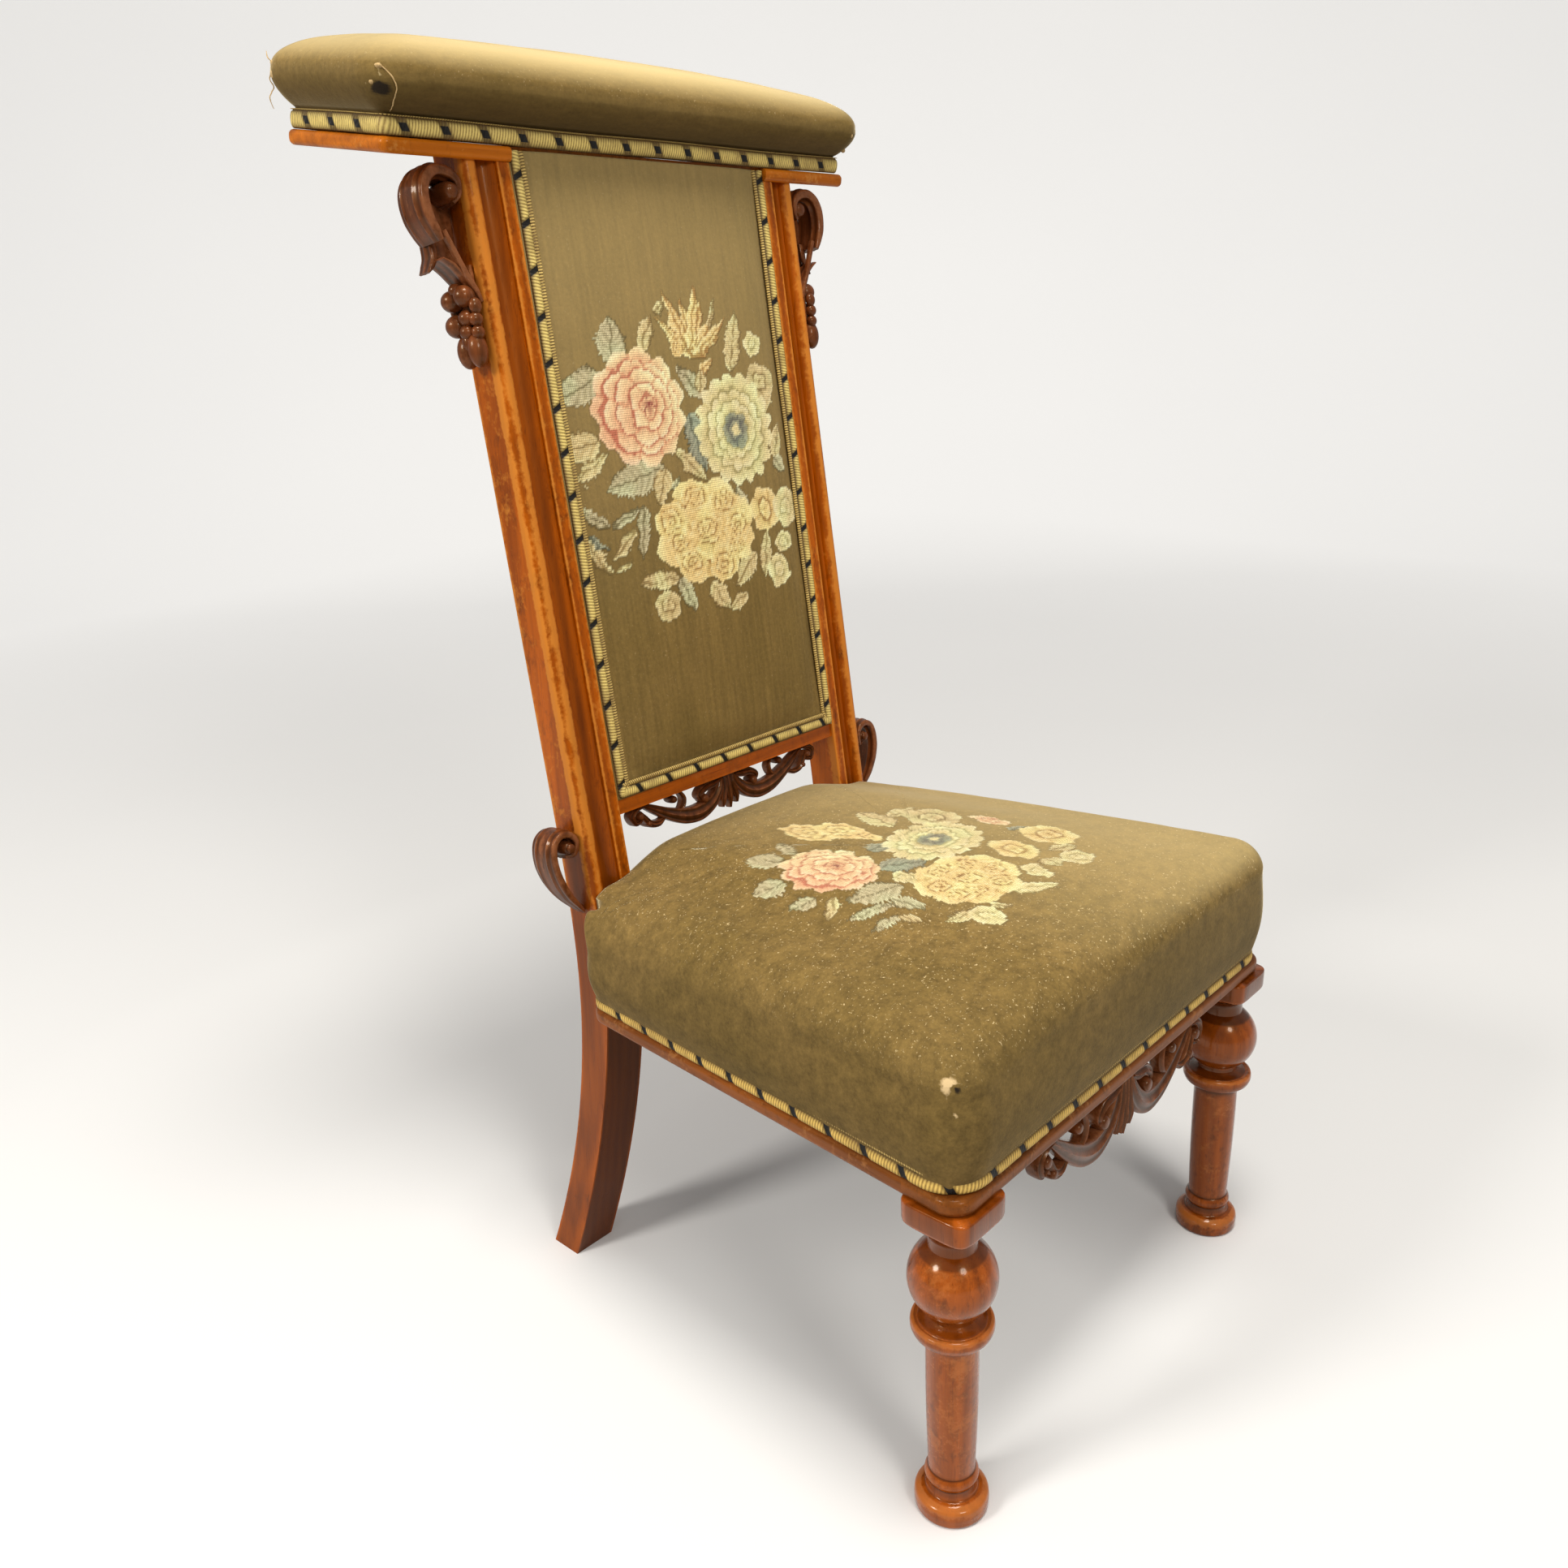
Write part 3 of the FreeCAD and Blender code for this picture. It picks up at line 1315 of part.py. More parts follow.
def chair():
    """Every piece of the chair by name."""
    post = rear_post_blank().cut(moulding_cutter())
    mortises = [
        tenon_mortise(-lower_rail_drop, lower_rail_height - lower_rail_drop),
        tenon_mortise(-upper_rail_height, -rail_tenon_shoulder / 2),
        side_tenons(joint_clearance)[1],
        back_rail_tenon(joint_clearance),
    ]
    for room in mortises + crest_screws(joint_clearance):
        post = post.cut(room)
    leg = front_leg_blank()
    for room in front_tenons(joint_clearance) + side_tenons(joint_clearance)[:1]:
        leg = leg.cut(room)
    braces = corner_braces()
    screws = [brace_screw(block, 0) for block in braces]
    braces = [block.cut(brace_screw(block, joint_clearance)) for block in braces]
    moulding_front, moulding_side = seat_mouldings()
    side_rail = seat_rail_side()
    batten = tacking_batten()
    bracket = crest_bracket()
    scroll = seat_scroll()
    return {
        "rear_post_right": post,
        "rear_post_left": mirrored(post),
        "crest_board": crest_board(),
        "crest_screws": Part.makeCompound(crest_screws(0)),
        "elbow_pad": elbow_pad(),
        "crest_gimp": crest_gimp(),
        "back_top_rail": back_top_rail(),
        "back_bottom_rail": back_bottom_rail(),
        "tacking_batten_right": batten,
        "tacking_batten_left": mirrored(batten),
        "back_webbing": back_webbing(),
        "back_hessian": back_hessian(),
        "back_panel_pad": back_panel_pad(),
        "back_panel_gimp": back_panel_gimp(),
        "outside_back_cloth": outside_back_cloth(),
        "crest_bracket_right": bracket,
        "crest_bracket_left": mirrored(bracket),
        "seat_scroll_right": scroll,
        "seat_scroll_left": mirrored(scroll),
        "back_apron": back_apron(),
        "front_apron": front_apron(),
        "front_leg_right": leg,
        "front_leg_left": mirrored(leg),
        "seat_rail_front": seat_rail_front(),
        "seat_rail_right": side_rail,
        "seat_rail_left": mirrored(side_rail),
        "seat_rail_back": seat_rail_back(),
        "seat_moulding_front": moulding_front,
        "seat_moulding_right": moulding_side,
        "seat_moulding_left": mirrored(moulding_side),
        "corner_braces": Part.makeCompound(braces),
        "brace_screws": Part.makeCompound(screws),
        "seat_webbing": seat_webbing(),
        "seat_springs": seat_springs(),
        "spring_hessian": spring_hessian(),
        "seat_pad": seat_pad(),
        "seat_gimp": seat_gimp(),
        "seat_dust_cloth": dust_cloth(),
        "dust_cloth_tacks": dust_cloth_tacks(),
    }


def write_parts():
    """Centres the chair over the origin and writes one file for each piece."""
    pieces = chair()
    limits = [shape.optimalBoundingBox() for shape in pieces.values()]
    front = min(limit.YMin for limit in limits)
    rear = max(limit.YMax for limit in limits)
    shift = V(0, -(front + rear) / 2, 0)
    os.makedirs("parts", exist_ok=True)
    for name, shape in pieces.items():
        placed = shape.copy()
        placed.translate(shift)
        placed.exportStep("parts/" + name + ".step")
        limit = placed.optimalBoundingBox()
        print(name, len(placed.Solids), "solids", "valid", placed.isValid(),
              "box", [round(value, 1) for value in
                      (limit.XMin, limit.XMax, limit.YMin, limit.YMax, limit.ZMin, limit.ZMax)])
    print("shift to the centre", round(shift.y, 3))
    print("least gap between a spring's turns", round(spring_gap(), 2))


write_parts()
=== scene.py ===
from math import acos, atan2, cos, pi, radians, sin, tan

import bmesh
import bpy
import numpy as np
from mathutils import Matrix, Vector


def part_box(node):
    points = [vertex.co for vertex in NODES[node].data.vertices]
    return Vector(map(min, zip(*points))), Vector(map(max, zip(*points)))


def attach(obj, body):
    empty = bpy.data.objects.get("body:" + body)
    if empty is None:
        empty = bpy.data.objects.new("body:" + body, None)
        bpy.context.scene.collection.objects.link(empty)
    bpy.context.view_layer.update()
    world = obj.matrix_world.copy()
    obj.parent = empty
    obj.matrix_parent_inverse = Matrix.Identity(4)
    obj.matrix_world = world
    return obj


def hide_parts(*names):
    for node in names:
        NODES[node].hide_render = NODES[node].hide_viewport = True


bl_info = {
    "name": "Prayer chair",
    "version": (1, 0, 0),
    "blender": (4, 5, 0),
    "location": "View3D > Sidebar > Prayer chair",
    "description": "Dresses the packed prayer chair: carved walnut, turned legs, plush and needlework",
    "category": "Object",
}

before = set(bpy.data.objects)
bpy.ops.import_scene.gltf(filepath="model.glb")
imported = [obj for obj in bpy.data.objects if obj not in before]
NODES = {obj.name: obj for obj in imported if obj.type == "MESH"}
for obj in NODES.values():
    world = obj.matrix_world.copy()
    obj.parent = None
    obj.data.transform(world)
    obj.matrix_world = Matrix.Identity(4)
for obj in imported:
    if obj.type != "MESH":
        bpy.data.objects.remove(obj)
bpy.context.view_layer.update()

# Places in metres, read from the solids where they give them
CREST_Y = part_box("seat_rail_front")[0].y + 0.449
CREST_Z = 0.900
CREST_SETBACK = 0.003
SEAT_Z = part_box("seat_rail_front")[0].z
MOULD_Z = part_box("seat_moulding_front")[1].z
SEAT_FRONT, SEAT_REAR = CREST_Y - 0.463, CREST_Y - 0.042
POST_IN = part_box("rear_post_right")[0].x
POST_WIDE, POST_DEEP = 0.040, 0.036
POST_OUT = POST_IN + POST_WIDE
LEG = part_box("front_leg_right")
TAPER = 26.0 / 383.0
RAKE, SLOPE = radians(7.4), radians(8.7)
MM = 0.001
SIDES = ((1, "right"), (-1, "left"))

# Braid: slope of its bars, and the plump cord's share of its width
BAR_SLANT = 0.20
CORD_SHARE, CREST_SHARE = 0.68, 0.91

join, steps = np.concatenate, np.linspace


def pale(r, g, b):
    """Screen colour from 0 to 255 as a linear colour with alpha."""
    tone = np.array([r, g, b]) / 255.0
    return solid(np.where(tone <= 0.04045, tone / 12.92, ((tone + 0.055) / 1.055) ** 2.4))


def solid(colour, share=1.0):
    """Linear colour, or a share of it, with an alpha of one."""
    return (*(float(value) * share for value in colour[:3]), 1.0)


def xyz(*parts):
    """Coordinates side by side on a last axis."""
    return np.stack(np.broadcast_arrays(*parts), -1)


def ramp(values, start, end):
    """Share from 0 at a start to 1 at an end, held beyond them."""
    return np.clip((values - start) / (end - start), 0, 1)


def bell(values, centre, width, power=2):
    """Bell curve e^-(d / w)^p."""
    return np.exp(-((values - centre) / width) ** power)


def unit(vectors):
    """Vectors of length one."""
    return vectors / np.maximum(np.linalg.norm(vectors, axis=-1, keepdims=True), 1e-12)


def on_back(x, w, v):
    """Points of the leaning back: x across, w to the rear of the posts' front, v up along them."""
    return xyz(x, CREST_Y + w * cos(RAKE) + v * sin(RAKE), CREST_Z - w * sin(RAKE) + v * cos(RAKE))


def on_crest(x, s, n):
    """Points over the sloping crest board: x across, s to the rear, n up from its underside."""
    return xyz(x, CREST_Y - CREST_SETBACK + s * cos(SLOPE) - n * sin(SLOPE),
               CREST_Z + s * sin(SLOPE) + n * cos(SLOPE))


# Meshes from grids

def new_mesh(name, points, corners, starts, uv, crease):
    """Smooth mesh from its points, its faces' corners and the corner that each face starts at."""
    mesh = bpy.data.meshes.new(name)
    for block, key, values, kind in ((mesh.vertices, "co", np.reshape(points, (-1, 3)), np.float32),
                                     (mesh.loops, "vertex_index", corners, np.int32),
                                     (mesh.polygons, "loop_start", starts, np.int32)):
        block.add(len(values))
        block.foreach_set(key, np.asarray(values, kind).ravel())
    mesh.update(calc_edges=True)
    if uv is not None:
        mesh.uv_layers.new(name="Place").data.foreach_set("uv", np.asarray(uv, np.float32).ravel())
    mesh.shade_smooth()
    if crease is not None:
        mesh.set_sharp_from_angle(angle=radians(crease))
    return mesh


def surface(name, grid, close_rows=False, close_cols=False, poles=(), uv=None, crease=None):
    """Mesh with one face for each cell of a grid of points. A closed side joins its last line to its
    first, and a pole row is drawn into one point. The faces are turned outwards by the sign of the
    volume, which is a sixth of the sum of a . (b x c) over the triangles."""
    index = np.arange(grid[..., 0].size).reshape(grid.shape[:2])
    for row in poles:
        index[row] = index[row, 0]
    ring = np.pad(index, ((0, int(close_rows)), (0, int(close_cols))), "wrap")
    quads, corners = (
        np.stack([table[:-1, :-1], table[1:, :-1], table[1:, 1:], table[:-1, 1:]], -1).reshape(-1, 4)
        for table in (ring, np.arange(ring.size).reshape(ring.shape)))
    points = grid.reshape(-1, 3)
    a, b, c, d = (points[quads[:, k]] for k in range(4))
    if np.einsum("ij,ij->", a, np.cross(b, c) + np.cross(c, d)) < 0:
        quads, corners = quads[:, ::-1], corners[:, ::-1]
    keep = quads != np.roll(quads, 1, axis=1)
    counts = keep.sum(1)
    used, loops = np.unique(quads[keep], return_inverse=True)
    if uv is not None:
        uv = uv.reshape(-1, 2)[corners[keep]]
    return new_mesh(name, points[used], loops, np.cumsum(counts) - counts, uv, crease)


def tube_mesh(name, grid, uv=None, crease=40):
    """Closed tube through rings of points, with its ends drawn into their middles."""
    first, last = (np.broadcast_to(grid[end].mean(0), (1,) + grid.shape[1:]) for end in (0, -1))
    if uv is not None:
        uv = join([uv[:1], uv, uv[-1:]])
    return surface(name, join([first, grid, last]), close_cols=True, poles=(0, -1), uv=uv, crease=crease)


def read(block, key, width=1, kind=np.float32):
    """Values of all elements of a block of mesh data."""
    values = np.empty(len(block) * width, kind)
    block.foreach_get(key, values)
    return values


def mesh_points(mesh):
    """Points of a mesh as an array."""
    return read(mesh.vertices, "co", 3).reshape(-1, 3).astype(float)


def set_mask(mesh, name, values):
    """Stores one number on each point of a mesh."""
    layer = mesh.attributes.new(name, "FLOAT", "POINT")
    layer.data.foreach_set("value", np.asarray(values, np.float32))


def joined(name, meshes, crease=42):
    """One mesh from several, each of them still a closed skin of its own."""
    points, corners, starts, wear_and_shade_parts = [], [], [], []
    first_point = first_loop = 0
    for mesh in meshes:
        points.append(read(mesh.vertices, "co", 3))
        corners.append(read(mesh.loops, "vertex_index", kind=np.int32) + first_point)
        starts.append(read(mesh.polygons, "loop_start", kind=np.int32) + first_loop)
        wear_and_shade = mesh.attributes.get("wear_and_shade")
        wear_and_shade_parts.append(read(wear_and_shade.data, "value") if wear_and_shade else np.zeros(len(mesh.vertices)))
        first_point += len(mesh.vertices)
        first_loop += len(mesh.loops)
        bpy.data.meshes.remove(mesh)
    whole = new_mesh(name, join(points), join(corners), join(starts), np.zeros(2 * first_loop), crease)
    set_mask(whole, "wear_and_shade", join(wear_and_shade_parts))
    return whole


def close_spine(mesh):
    """Merges the two edges that meet along a pad's middle line, and turns the faces outwards."""
    work = bmesh.new()
    work.from_mesh(mesh)
    bmesh.ops.remove_doubles(work, verts=work.verts, dist=0.00004)
    bmesh.ops.recalc_face_normals(work, faces=work.faces)
    work.to_mesh(mesh)
    work.free()
    return mesh


def closed_sheet(name, front, back, uv):
    """Sheet with a front and a back face, joined round their four edges. The back lines follow the
    front lines as one closed ring of columns, and both ends are drawn into a line."""
    ring = join([front, back[:, ::-1]], 1)
    ends = [(ring[end:end + 1 or None] + ring[end:end + 1 or None, ::-1]) / 2 for end in (0, -1)]
    uv = join([uv, uv[:, ::-1], uv[:, :1]], 1)
    return close_spine(surface(name, join([ends[0], ring, ends[1]]), close_cols=True,
                               uv=join([uv[:1], uv, uv[-1:]])))


def placed(name, mesh, finish, *nodes, fill=None):
    """Puts a finished mesh into the scene in place of the solids that it stands for."""
    piece = bpy.data.objects.new(name, mesh)
    bpy.context.scene.collection.objects.link(piece)
    dress(mesh, finish)
    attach(piece, "root")
    if nodes:
        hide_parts(*nodes)
    return piece


def dress(mesh, finish):
    """Gives a mesh one material."""
    mesh.materials.clear()
    mesh.materials.append(finish)


def curve_through(points, count):
    """Smooth path through hand-set points. Between two of them it is the cubic whose slope at each
    point is half the step from the point before it to the point after it."""
    full = join([2 * points[:1] - points[1:2], points, 2 * points[-1:] - points[-2:-1]])
    place = steps(0, len(points) - 1, count)
    span = np.minimum(place.astype(int), len(points) - 2)
    t = (place - span)[:, None]
    a, b, c, d = (full[span + k] for k in range(4))
    return 0.5 * (2 * b + (c - a) * t + (2 * a - 5 * b + 4 * c - d) * t ** 2
                  + (3 * b - a - 3 * c + d) * t ** 3)


def waves(points, scale, seed):
    """Smooth unevenness from -1 to 1: the mean of six sine waves whose directions come from a seed."""
    rng = np.random.default_rng(seed)
    ways = rng.normal(size=(6, points.shape[-1]))
    ways = ways / np.linalg.norm(ways, axis=1, keepdims=True) * rng.uniform(0.6, 1.6, (6, 1))
    return np.sin(points @ ways.T * (2 * pi / scale) + rng.uniform(0, 6.28, 6)).mean(-1)


def rounded_outline(corners, radii, spacing):
    """Closed outline with rounded corners, as evenly spaced points and their outward directions."""
    corners = np.asarray(corners, float)
    pieces = []
    for k, (corner, radius) in enumerate(zip(corners, radii)):
        before, after = unit(corners[k - 1] - corner), unit(corners[(k + 1) % len(corners)] - corner)
        half = acos(np.clip(before @ after, -1, 1)) / 2
        centre = corner + unit(before + after) * radius / sin(half)
        a0, a1 = (atan2(*(corner + way * radius / tan(half) - centre)[::-1]) for way in (before, after))
        angles = a0 + ((a1 - a0 + pi) % (2 * pi) - pi) * steps(0, 1, 24)
        pieces.append(centre + radius * xyz(np.cos(angles), np.sin(angles)))
    dense = join(pieces + [pieces[0][:1]])
    outline = even_path(dense, spacing=spacing)
    along = unit(np.roll(outline, -1, 0) - np.roll(outline, 1, 0))
    return outline, xyz(along[:, 1], -along[:, 0])


def even_path(path, count=None, spacing=None):
    """Evenly spaced points along a path: a count of them, or a closed path's by their spacing."""
    length = join([[0], np.cumsum(np.hypot(*np.diff(path, axis=0).T))])
    marks = steps(0, length[-1], count or int(round(length[-1] / spacing)), endpoint=count is not None)
    return xyz(*(np.interp(marks, length, column) for column in path.T))


# Shader helpers

class Value:
    """Output of a shader node. The plain operators add math nodes, and a key gives a sister output."""

    def __init__(self, nodes, socket):
        self.nodes, self.socket = nodes, socket

    def __getitem__(self, key):
        return Value(self.nodes, self.socket.node.outputs[key])

    def __add__(self, other):
        return self.nodes.math("ADD", self, other)

    def __sub__(self, other):
        return self.nodes.math("SUBTRACT", self, other)

    def __rsub__(self, other):
        return self.nodes.math("SUBTRACT", other, self)

    def __mul__(self, other):
        return self.nodes.math("MULTIPLY", self, other)

    def __pow__(self, power):
        return self.nodes.math("POWER", self, power)

    def __lt__(self, other):
        return self.nodes.math("LESS_THAN", self, other)

    def __abs__(self):
        return self.nodes.math("ABSOLUTE", self)

    def held(self):
        """The value kept between 0 and 1."""
        return self.nodes.math("ADD", self, 0.0, clamp=True)


class Nodes:
    """Adds and joins shader nodes in one tree."""

    def __init__(self, tree):
        self.tree = tree

    def put(self, socket, value):
        if isinstance(value, Value):
            self.tree.links.new(value.socket, socket)
        else:
            socket.default_value = value

    def add(self, kind, inputs=None, output=0, **settings):
        node = self.tree.nodes.new("ShaderNode" + kind)
        for key, value in settings.items():
            setattr(node, key, value)
        for key, value in (inputs or {}).items():
            self.put(node.inputs[key], value)
        return Value(self, node.outputs[output])

    def math(self, operation, *values, clamp=False):
        return self.add("Math", dict(enumerate(values)), operation=operation, use_clamp=clamp)

    def mix(self, share, low, high):
        return self.add("Mix", {0: share, 6: low, 7: high}, 2, data_type="RGBA")

    def noise(self, vector, scale, detail=2.0, roughness=0.5, distortion=0.0):
        return self.add("TexNoise", {"Vector": vector, "Scale": scale, "Detail": detail,
                                     "Roughness": roughness, "Distortion": distortion}, "Fac")

    def ramp(self, share, start, end):
        return self.add("MapRange", {0: share, 1: start, 2: end})

    def stretch(self, vector, scale=(1, 1, 1), shift=(0, 0, 0), turn=(0, 0, 0)):
        return self.add("Mapping", {"Vector": vector, "Location": shift, "Rotation": turn, "Scale": scale})

    def mask(self, name):
        return self.add("Attribute", output="Fac", attribute_name=name)

    def use(self, effect_name, **inputs):
        return self.add("Group", inputs, node_tree=shared(effect_name))

    def shade(self, height=None, strength=0.5, distance=0.0006, **inputs):
        """Joins values to the shader, and a bump from a height. An underscore stands for a space."""
        if height is not None:
            inputs["Normal"] = self.add("Bump", {"Height": height, "Strength": strength, "Distance": distance})
        shader = next(node for node in self.tree.nodes if node.type == "BSDF_PRINCIPLED")
        for key, value in inputs.items():
            self.put(shader.inputs[key.replace("_", " ")], value)


# Shared effects, each a node group

EFFECTS = {}


def effect(name, **inputs):
    """Marks the maker of an effect. It is given the node helper and the inputs, and gives the outputs."""
    def keep(maker):
        EFFECTS[name] = maker, inputs
        return maker
    return keep


def shared(name):
    """The node group of one effect, built the first time that it is asked for."""
    if name not in bpy.data.node_groups:
        maker, inputs = EFFECTS[name]
        tree = bpy.data.node_groups.new(name, "ShaderNodeTree")

        def socket(label, way, kind):
            return tree.interface.new_socket(label, in_out=way, socket_type="NodeSocket" + kind)
        for label, default in inputs.items():
            kind = "Float" if isinstance(default, float) else {3: "Vector", 4: "Color"}[len(default)]
            socket(label, "INPUT", kind).default_value = default
        nodes = Nodes(tree)
        made = maker(nodes, Value(nodes, tree.nodes.new("NodeGroupInput").outputs[0]))
        for label in made:
            socket(label, "OUTPUT", "Color" if label == "Colour" else "Float")
        end = tree.nodes.new("NodeGroupOutput")
        for label, value in made.items():
            nodes.put(end.inputs[label], value)
    return bpy.data.node_groups[name]


ORIGIN, WHITE = (0.0, 0.0, 0.0), (1.0, 1.0, 1.0, 1.0)


@effect("Wood grain", Vector=ORIGIN, Light=WHITE, Dark=WHITE, Figure=1.0)
def wood_grain(n, given):
    """Long streaks along Z of the vector given, growth bands bent by slow noise, dark pores."""
    def grain(scale, *noise):
        return n.noise(n.stretch(given["Vector"], scale), 1.0, *noise)
    wave = {"Vector": n.stretch(given["Vector"], (30, 30, 2.2)), "Scale": 1.0, "Distortion": 6.0,
            "Detail": 3.0, "Detail Scale": 1.3}
    bands = n.add("TexWave", wave, "Fac", wave_type="BANDS", bands_direction="X")
    pores = n.ramp(grain((900, 900, 22), 2.0, 0.6), 0.30, 0.43)
    fine, broad = grain((120, 120, 5), 4.0, 0.6, 0.4), grain((9, 9, 1.6), 3.0, 0.55, 1.2)
    tone = (fine - 0.5) * 0.9 + bands * 0.32 + broad * 0.75
    tone = ((tone - 0.28).held() * given["Figure"]).held()
    colour = n.mix(tone, given["Light"], given["Dark"])
    return {"Colour": n.mix(pores * -0.45 + 0.45, colour, given["Dark"]), "Pores": pores,
            "Gloss": grain((14, 14, 10), 4.0)}


@effect("Age", Vector=ORIGIN, Rubbed=0.5, Grime=0.5, Edge=0.0)
def age(n, given):
    """Rubbed light patches and grime, both from noise in metres, with a wear attribute added."""
    vector, edge = given["Vector"], given["Edge"]
    rub = n.noise(vector, 260.0, 3.0, 0.6) * 0.45 + n.noise(vector, 34.0, 5.0, 0.62, 0.6) * 0.75
    rub = ((rub + edge * 0.34 - 0.66) * 5.0).held() * given["Rubbed"]
    stains = n.noise(n.stretch(vector, shift=(3.1, 1.7, 0.4)), 21.0, 5.0, 0.65, 0.8)
    specks = n.noise(n.stretch(vector, (1, 1, 0.45), (1.3, 0.2, 2.2)), 170.0, 4.0, 0.7, 0.5)
    dark = ((specks * 0.55 + stains * 0.55 - 0.56) * 5.0).held() * given["Grime"]
    # Painted shade: the attribute's values below zero darken hollows, grooves and faces under the seat.
    hollow = (edge * -1.0).held() * 0.85
    return {"Light mask": rub.held(), "Dark mask": n.math("MAXIMUM", dark.held(), hollow),
            "Scratches": n.noise(n.stretch(vector, (400, 60, 60), turn=(0.3, 0.5, 0.9)), 1.0, 2.0)}


@effect("Plush nap", Vector=ORIGIN, Warm=WHITE, Cool=WHITE, Streaks=ORIGIN, Flecks=0.5, Grain=1.0)
def plush_nap(n, given):
    """Slow shade changes, streaks where the pile leans, pale flecks of worn ground."""
    vector = given["Vector"]
    stretched = n.add("VectorMath", {0: vector, 1: given["Streaks"]}, operation="MULTIPLY")
    streak, grains = n.noise(stretched, 1.0, 3.0, 0.6), n.noise(vector, 330.0, 3.0, 0.75)
    slow = n.ramp(n.noise(vector, 9.0, 3.0, 0.6, 0.5), 0.25, 0.75)
    tone = n.math("MAXIMUM", streak * 0.5 + grains * 0.5 - 0.5, -0.14) * given["Grain"]
    colour = n.mix(slow, given["Warm"], given["Cool"])
    colour = n.add("HueSaturation", {"Color": colour, "Value": tone * 1.5 + 1.0})
    fleck = ((n.noise(vector, 420.0, 2.0, 0.8) - 0.63) * 9.0).held()
    fleck = (fleck * (n.noise(vector, 26.0, 3.0) * given["Flecks"])).held()
    return {"Colour": colour, "Pile": n.noise(vector, 700.0, 2.0, 0.7) * 0.6 + streak * 0.45, "Fleck mask": fleck}


@effect("Plain weave", Vector=ORIGIN, Threads=900.0)
def plain_weave(n, given):
    """Threads on two axes that cross over and under, each a rounded ridge."""
    split = n.add("SeparateXYZ", {0: given["Vector"]})
    warp, weft = (n.math("SINE", split[k] * given["Threads"]) for k in (0, 1))
    tone = n.noise(n.stretch(given["Vector"], (300, 40, 300)), 1.0, 2.0)
    return {"Height": abs(warp * weft), "Thread tone": tone}


# Materials

def material(name):
    """New material with its node helper and the object coordinates, whose sister output is the UV."""
    finish = bpy.data.materials.new(name)
    finish.use_nodes = True
    n = Nodes(finish.node_tree)
    return finish, n, n.add("TexCoord", output="Object")


def wood_finish(name, light, dark, worn, grain="Z", figure=1.0, rough=(0.30, 0.5), coat=0.18,
                rubbed=0.5, grime=0.5, edge=False):
    """Polished wood: grain, rubbed light places, grime in the hollows, and a waxed coat."""
    finish, n, place = material(name)
    turn = {"Z": (0, 0, 0), "X": (0, pi / 2, 0), "Y": (pi / 2, 0, 0)}[grain]
    wood = n.use("Wood grain", Vector=n.stretch(place, turn=turn), Light=light, Dark=dark, Figure=figure)
    old = n.use("Age", Vector=place, Rubbed=rubbed, Grime=grime, Edge=n.mask("wear_and_shade") if edge else 0.0)
    # Grime and the attribute's painted shade darken the wood towards a third of its dark tone.
    colour = n.mix(old["Dark mask"], wood["Colour"], solid(dark, 0.35))
    colour = n.mix(old["Light mask"], colour, worn)
    roughness = wood["Gloss"] * (rough[1] - rough[0]) + (old["Light mask"] * 0.2 + rough[0])
    n.shade(wood["Pores"] * 0.35 + old["Scratches"] * 0.3, 0.22, Base_Color=colour, Roughness=roughness,
            Specular_IOR_Level=0.3, Specular_Tint=(1.0, 0.58, 0.22, 1), Coat_Weight=coat, Coat_Roughness=0.10)
    return finish


def plush_finish(name, streaks, needlework=False, flecks=0.5, grain=1.0, worn=None, tint=None,
                 stitch_light=0.78):
    """Cut plush with a leaning pile, and on request the stitched bouquet and a worn bald patch."""
    look = bpy.context.scene.chair_finishes
    finish, n, place = material(name)
    warm, cool = tint or (solid(look.plush_warm), solid(look.plush_cool))
    nap = n.use("Plush nap", Vector=place, Warm=warm, Cool=cool, Streaks=streaks, Flecks=flecks, Grain=grain)
    # Painted light from the nap attribute: above zero a painted highlight on the tops, below zero painted shade
    # low on the sides, where the flecks also fade out.
    nap_and_painted_light = n.mask("nap")
    colour = n.mix(nap["Fleck mask"] * (nap_and_painted_light * 14.0 + 2.4).held(), nap["Colour"], pale(224, 198, 146))
    colour = n.mix(nap_and_painted_light.held(), colour, pale(240, 214, 152))
    colour = n.mix((nap_and_painted_light * -1.0).held(), colour, pale(44, 31, 10))
    height = nap["Pile"] * 0.5
    if needlework:
        bouquet, cells = n.add("Attribute", attribute_name="bouquet"), n.add("SeparateXYZ", {0: place["UV"]})
        across, along = (abs(n.math("SINE", cells[k] * (pi / look.stitch_pitch))) ** 0.5 for k in (0, 1))
        stitch = across * along
        # Painted shade between the stitches, and a brightness of the threads set for each pad's light.
        light = (stitch * 0.42 + 0.66) * (n.noise(place, 1500.0, 1.0) * 0.5 + stitch_light)
        thread = n.add("HueSaturation", {"Color": bouquet["Color"], "Value": light})
        colour = n.mix(bouquet["Alpha"], colour, thread)
        height = height + stitch * bouquet["Alpha"] * 0.9
    if worn is not None:
        bald = n.mask("worn")
        ragged = bald + (n.noise(place, 230.0, 4.0) - 0.5) * 0.9
        bare = (((ragged - 0.42) * 4.0).held() * (bald * 3.0).held()).held()
        # Painted shade: near black stands for the inside of a hole, where the tear has no depth.
        hole = (bald * -4.0).held() * (ragged * -2.5).held()
        colour = n.mix(hole, n.mix(bare, colour, worn), (0.020, 0.013, 0.007, 1))
    n.shade(height, 0.55, 0.0009, Base_Color=colour, Roughness=0.92, Specular_IOR_Level=0.2,
            Sheen_Weight=0.8, Sheen_Roughness=0.28, Sheen_Tint=(1.0, 0.84, 0.52, 1))
    return finish


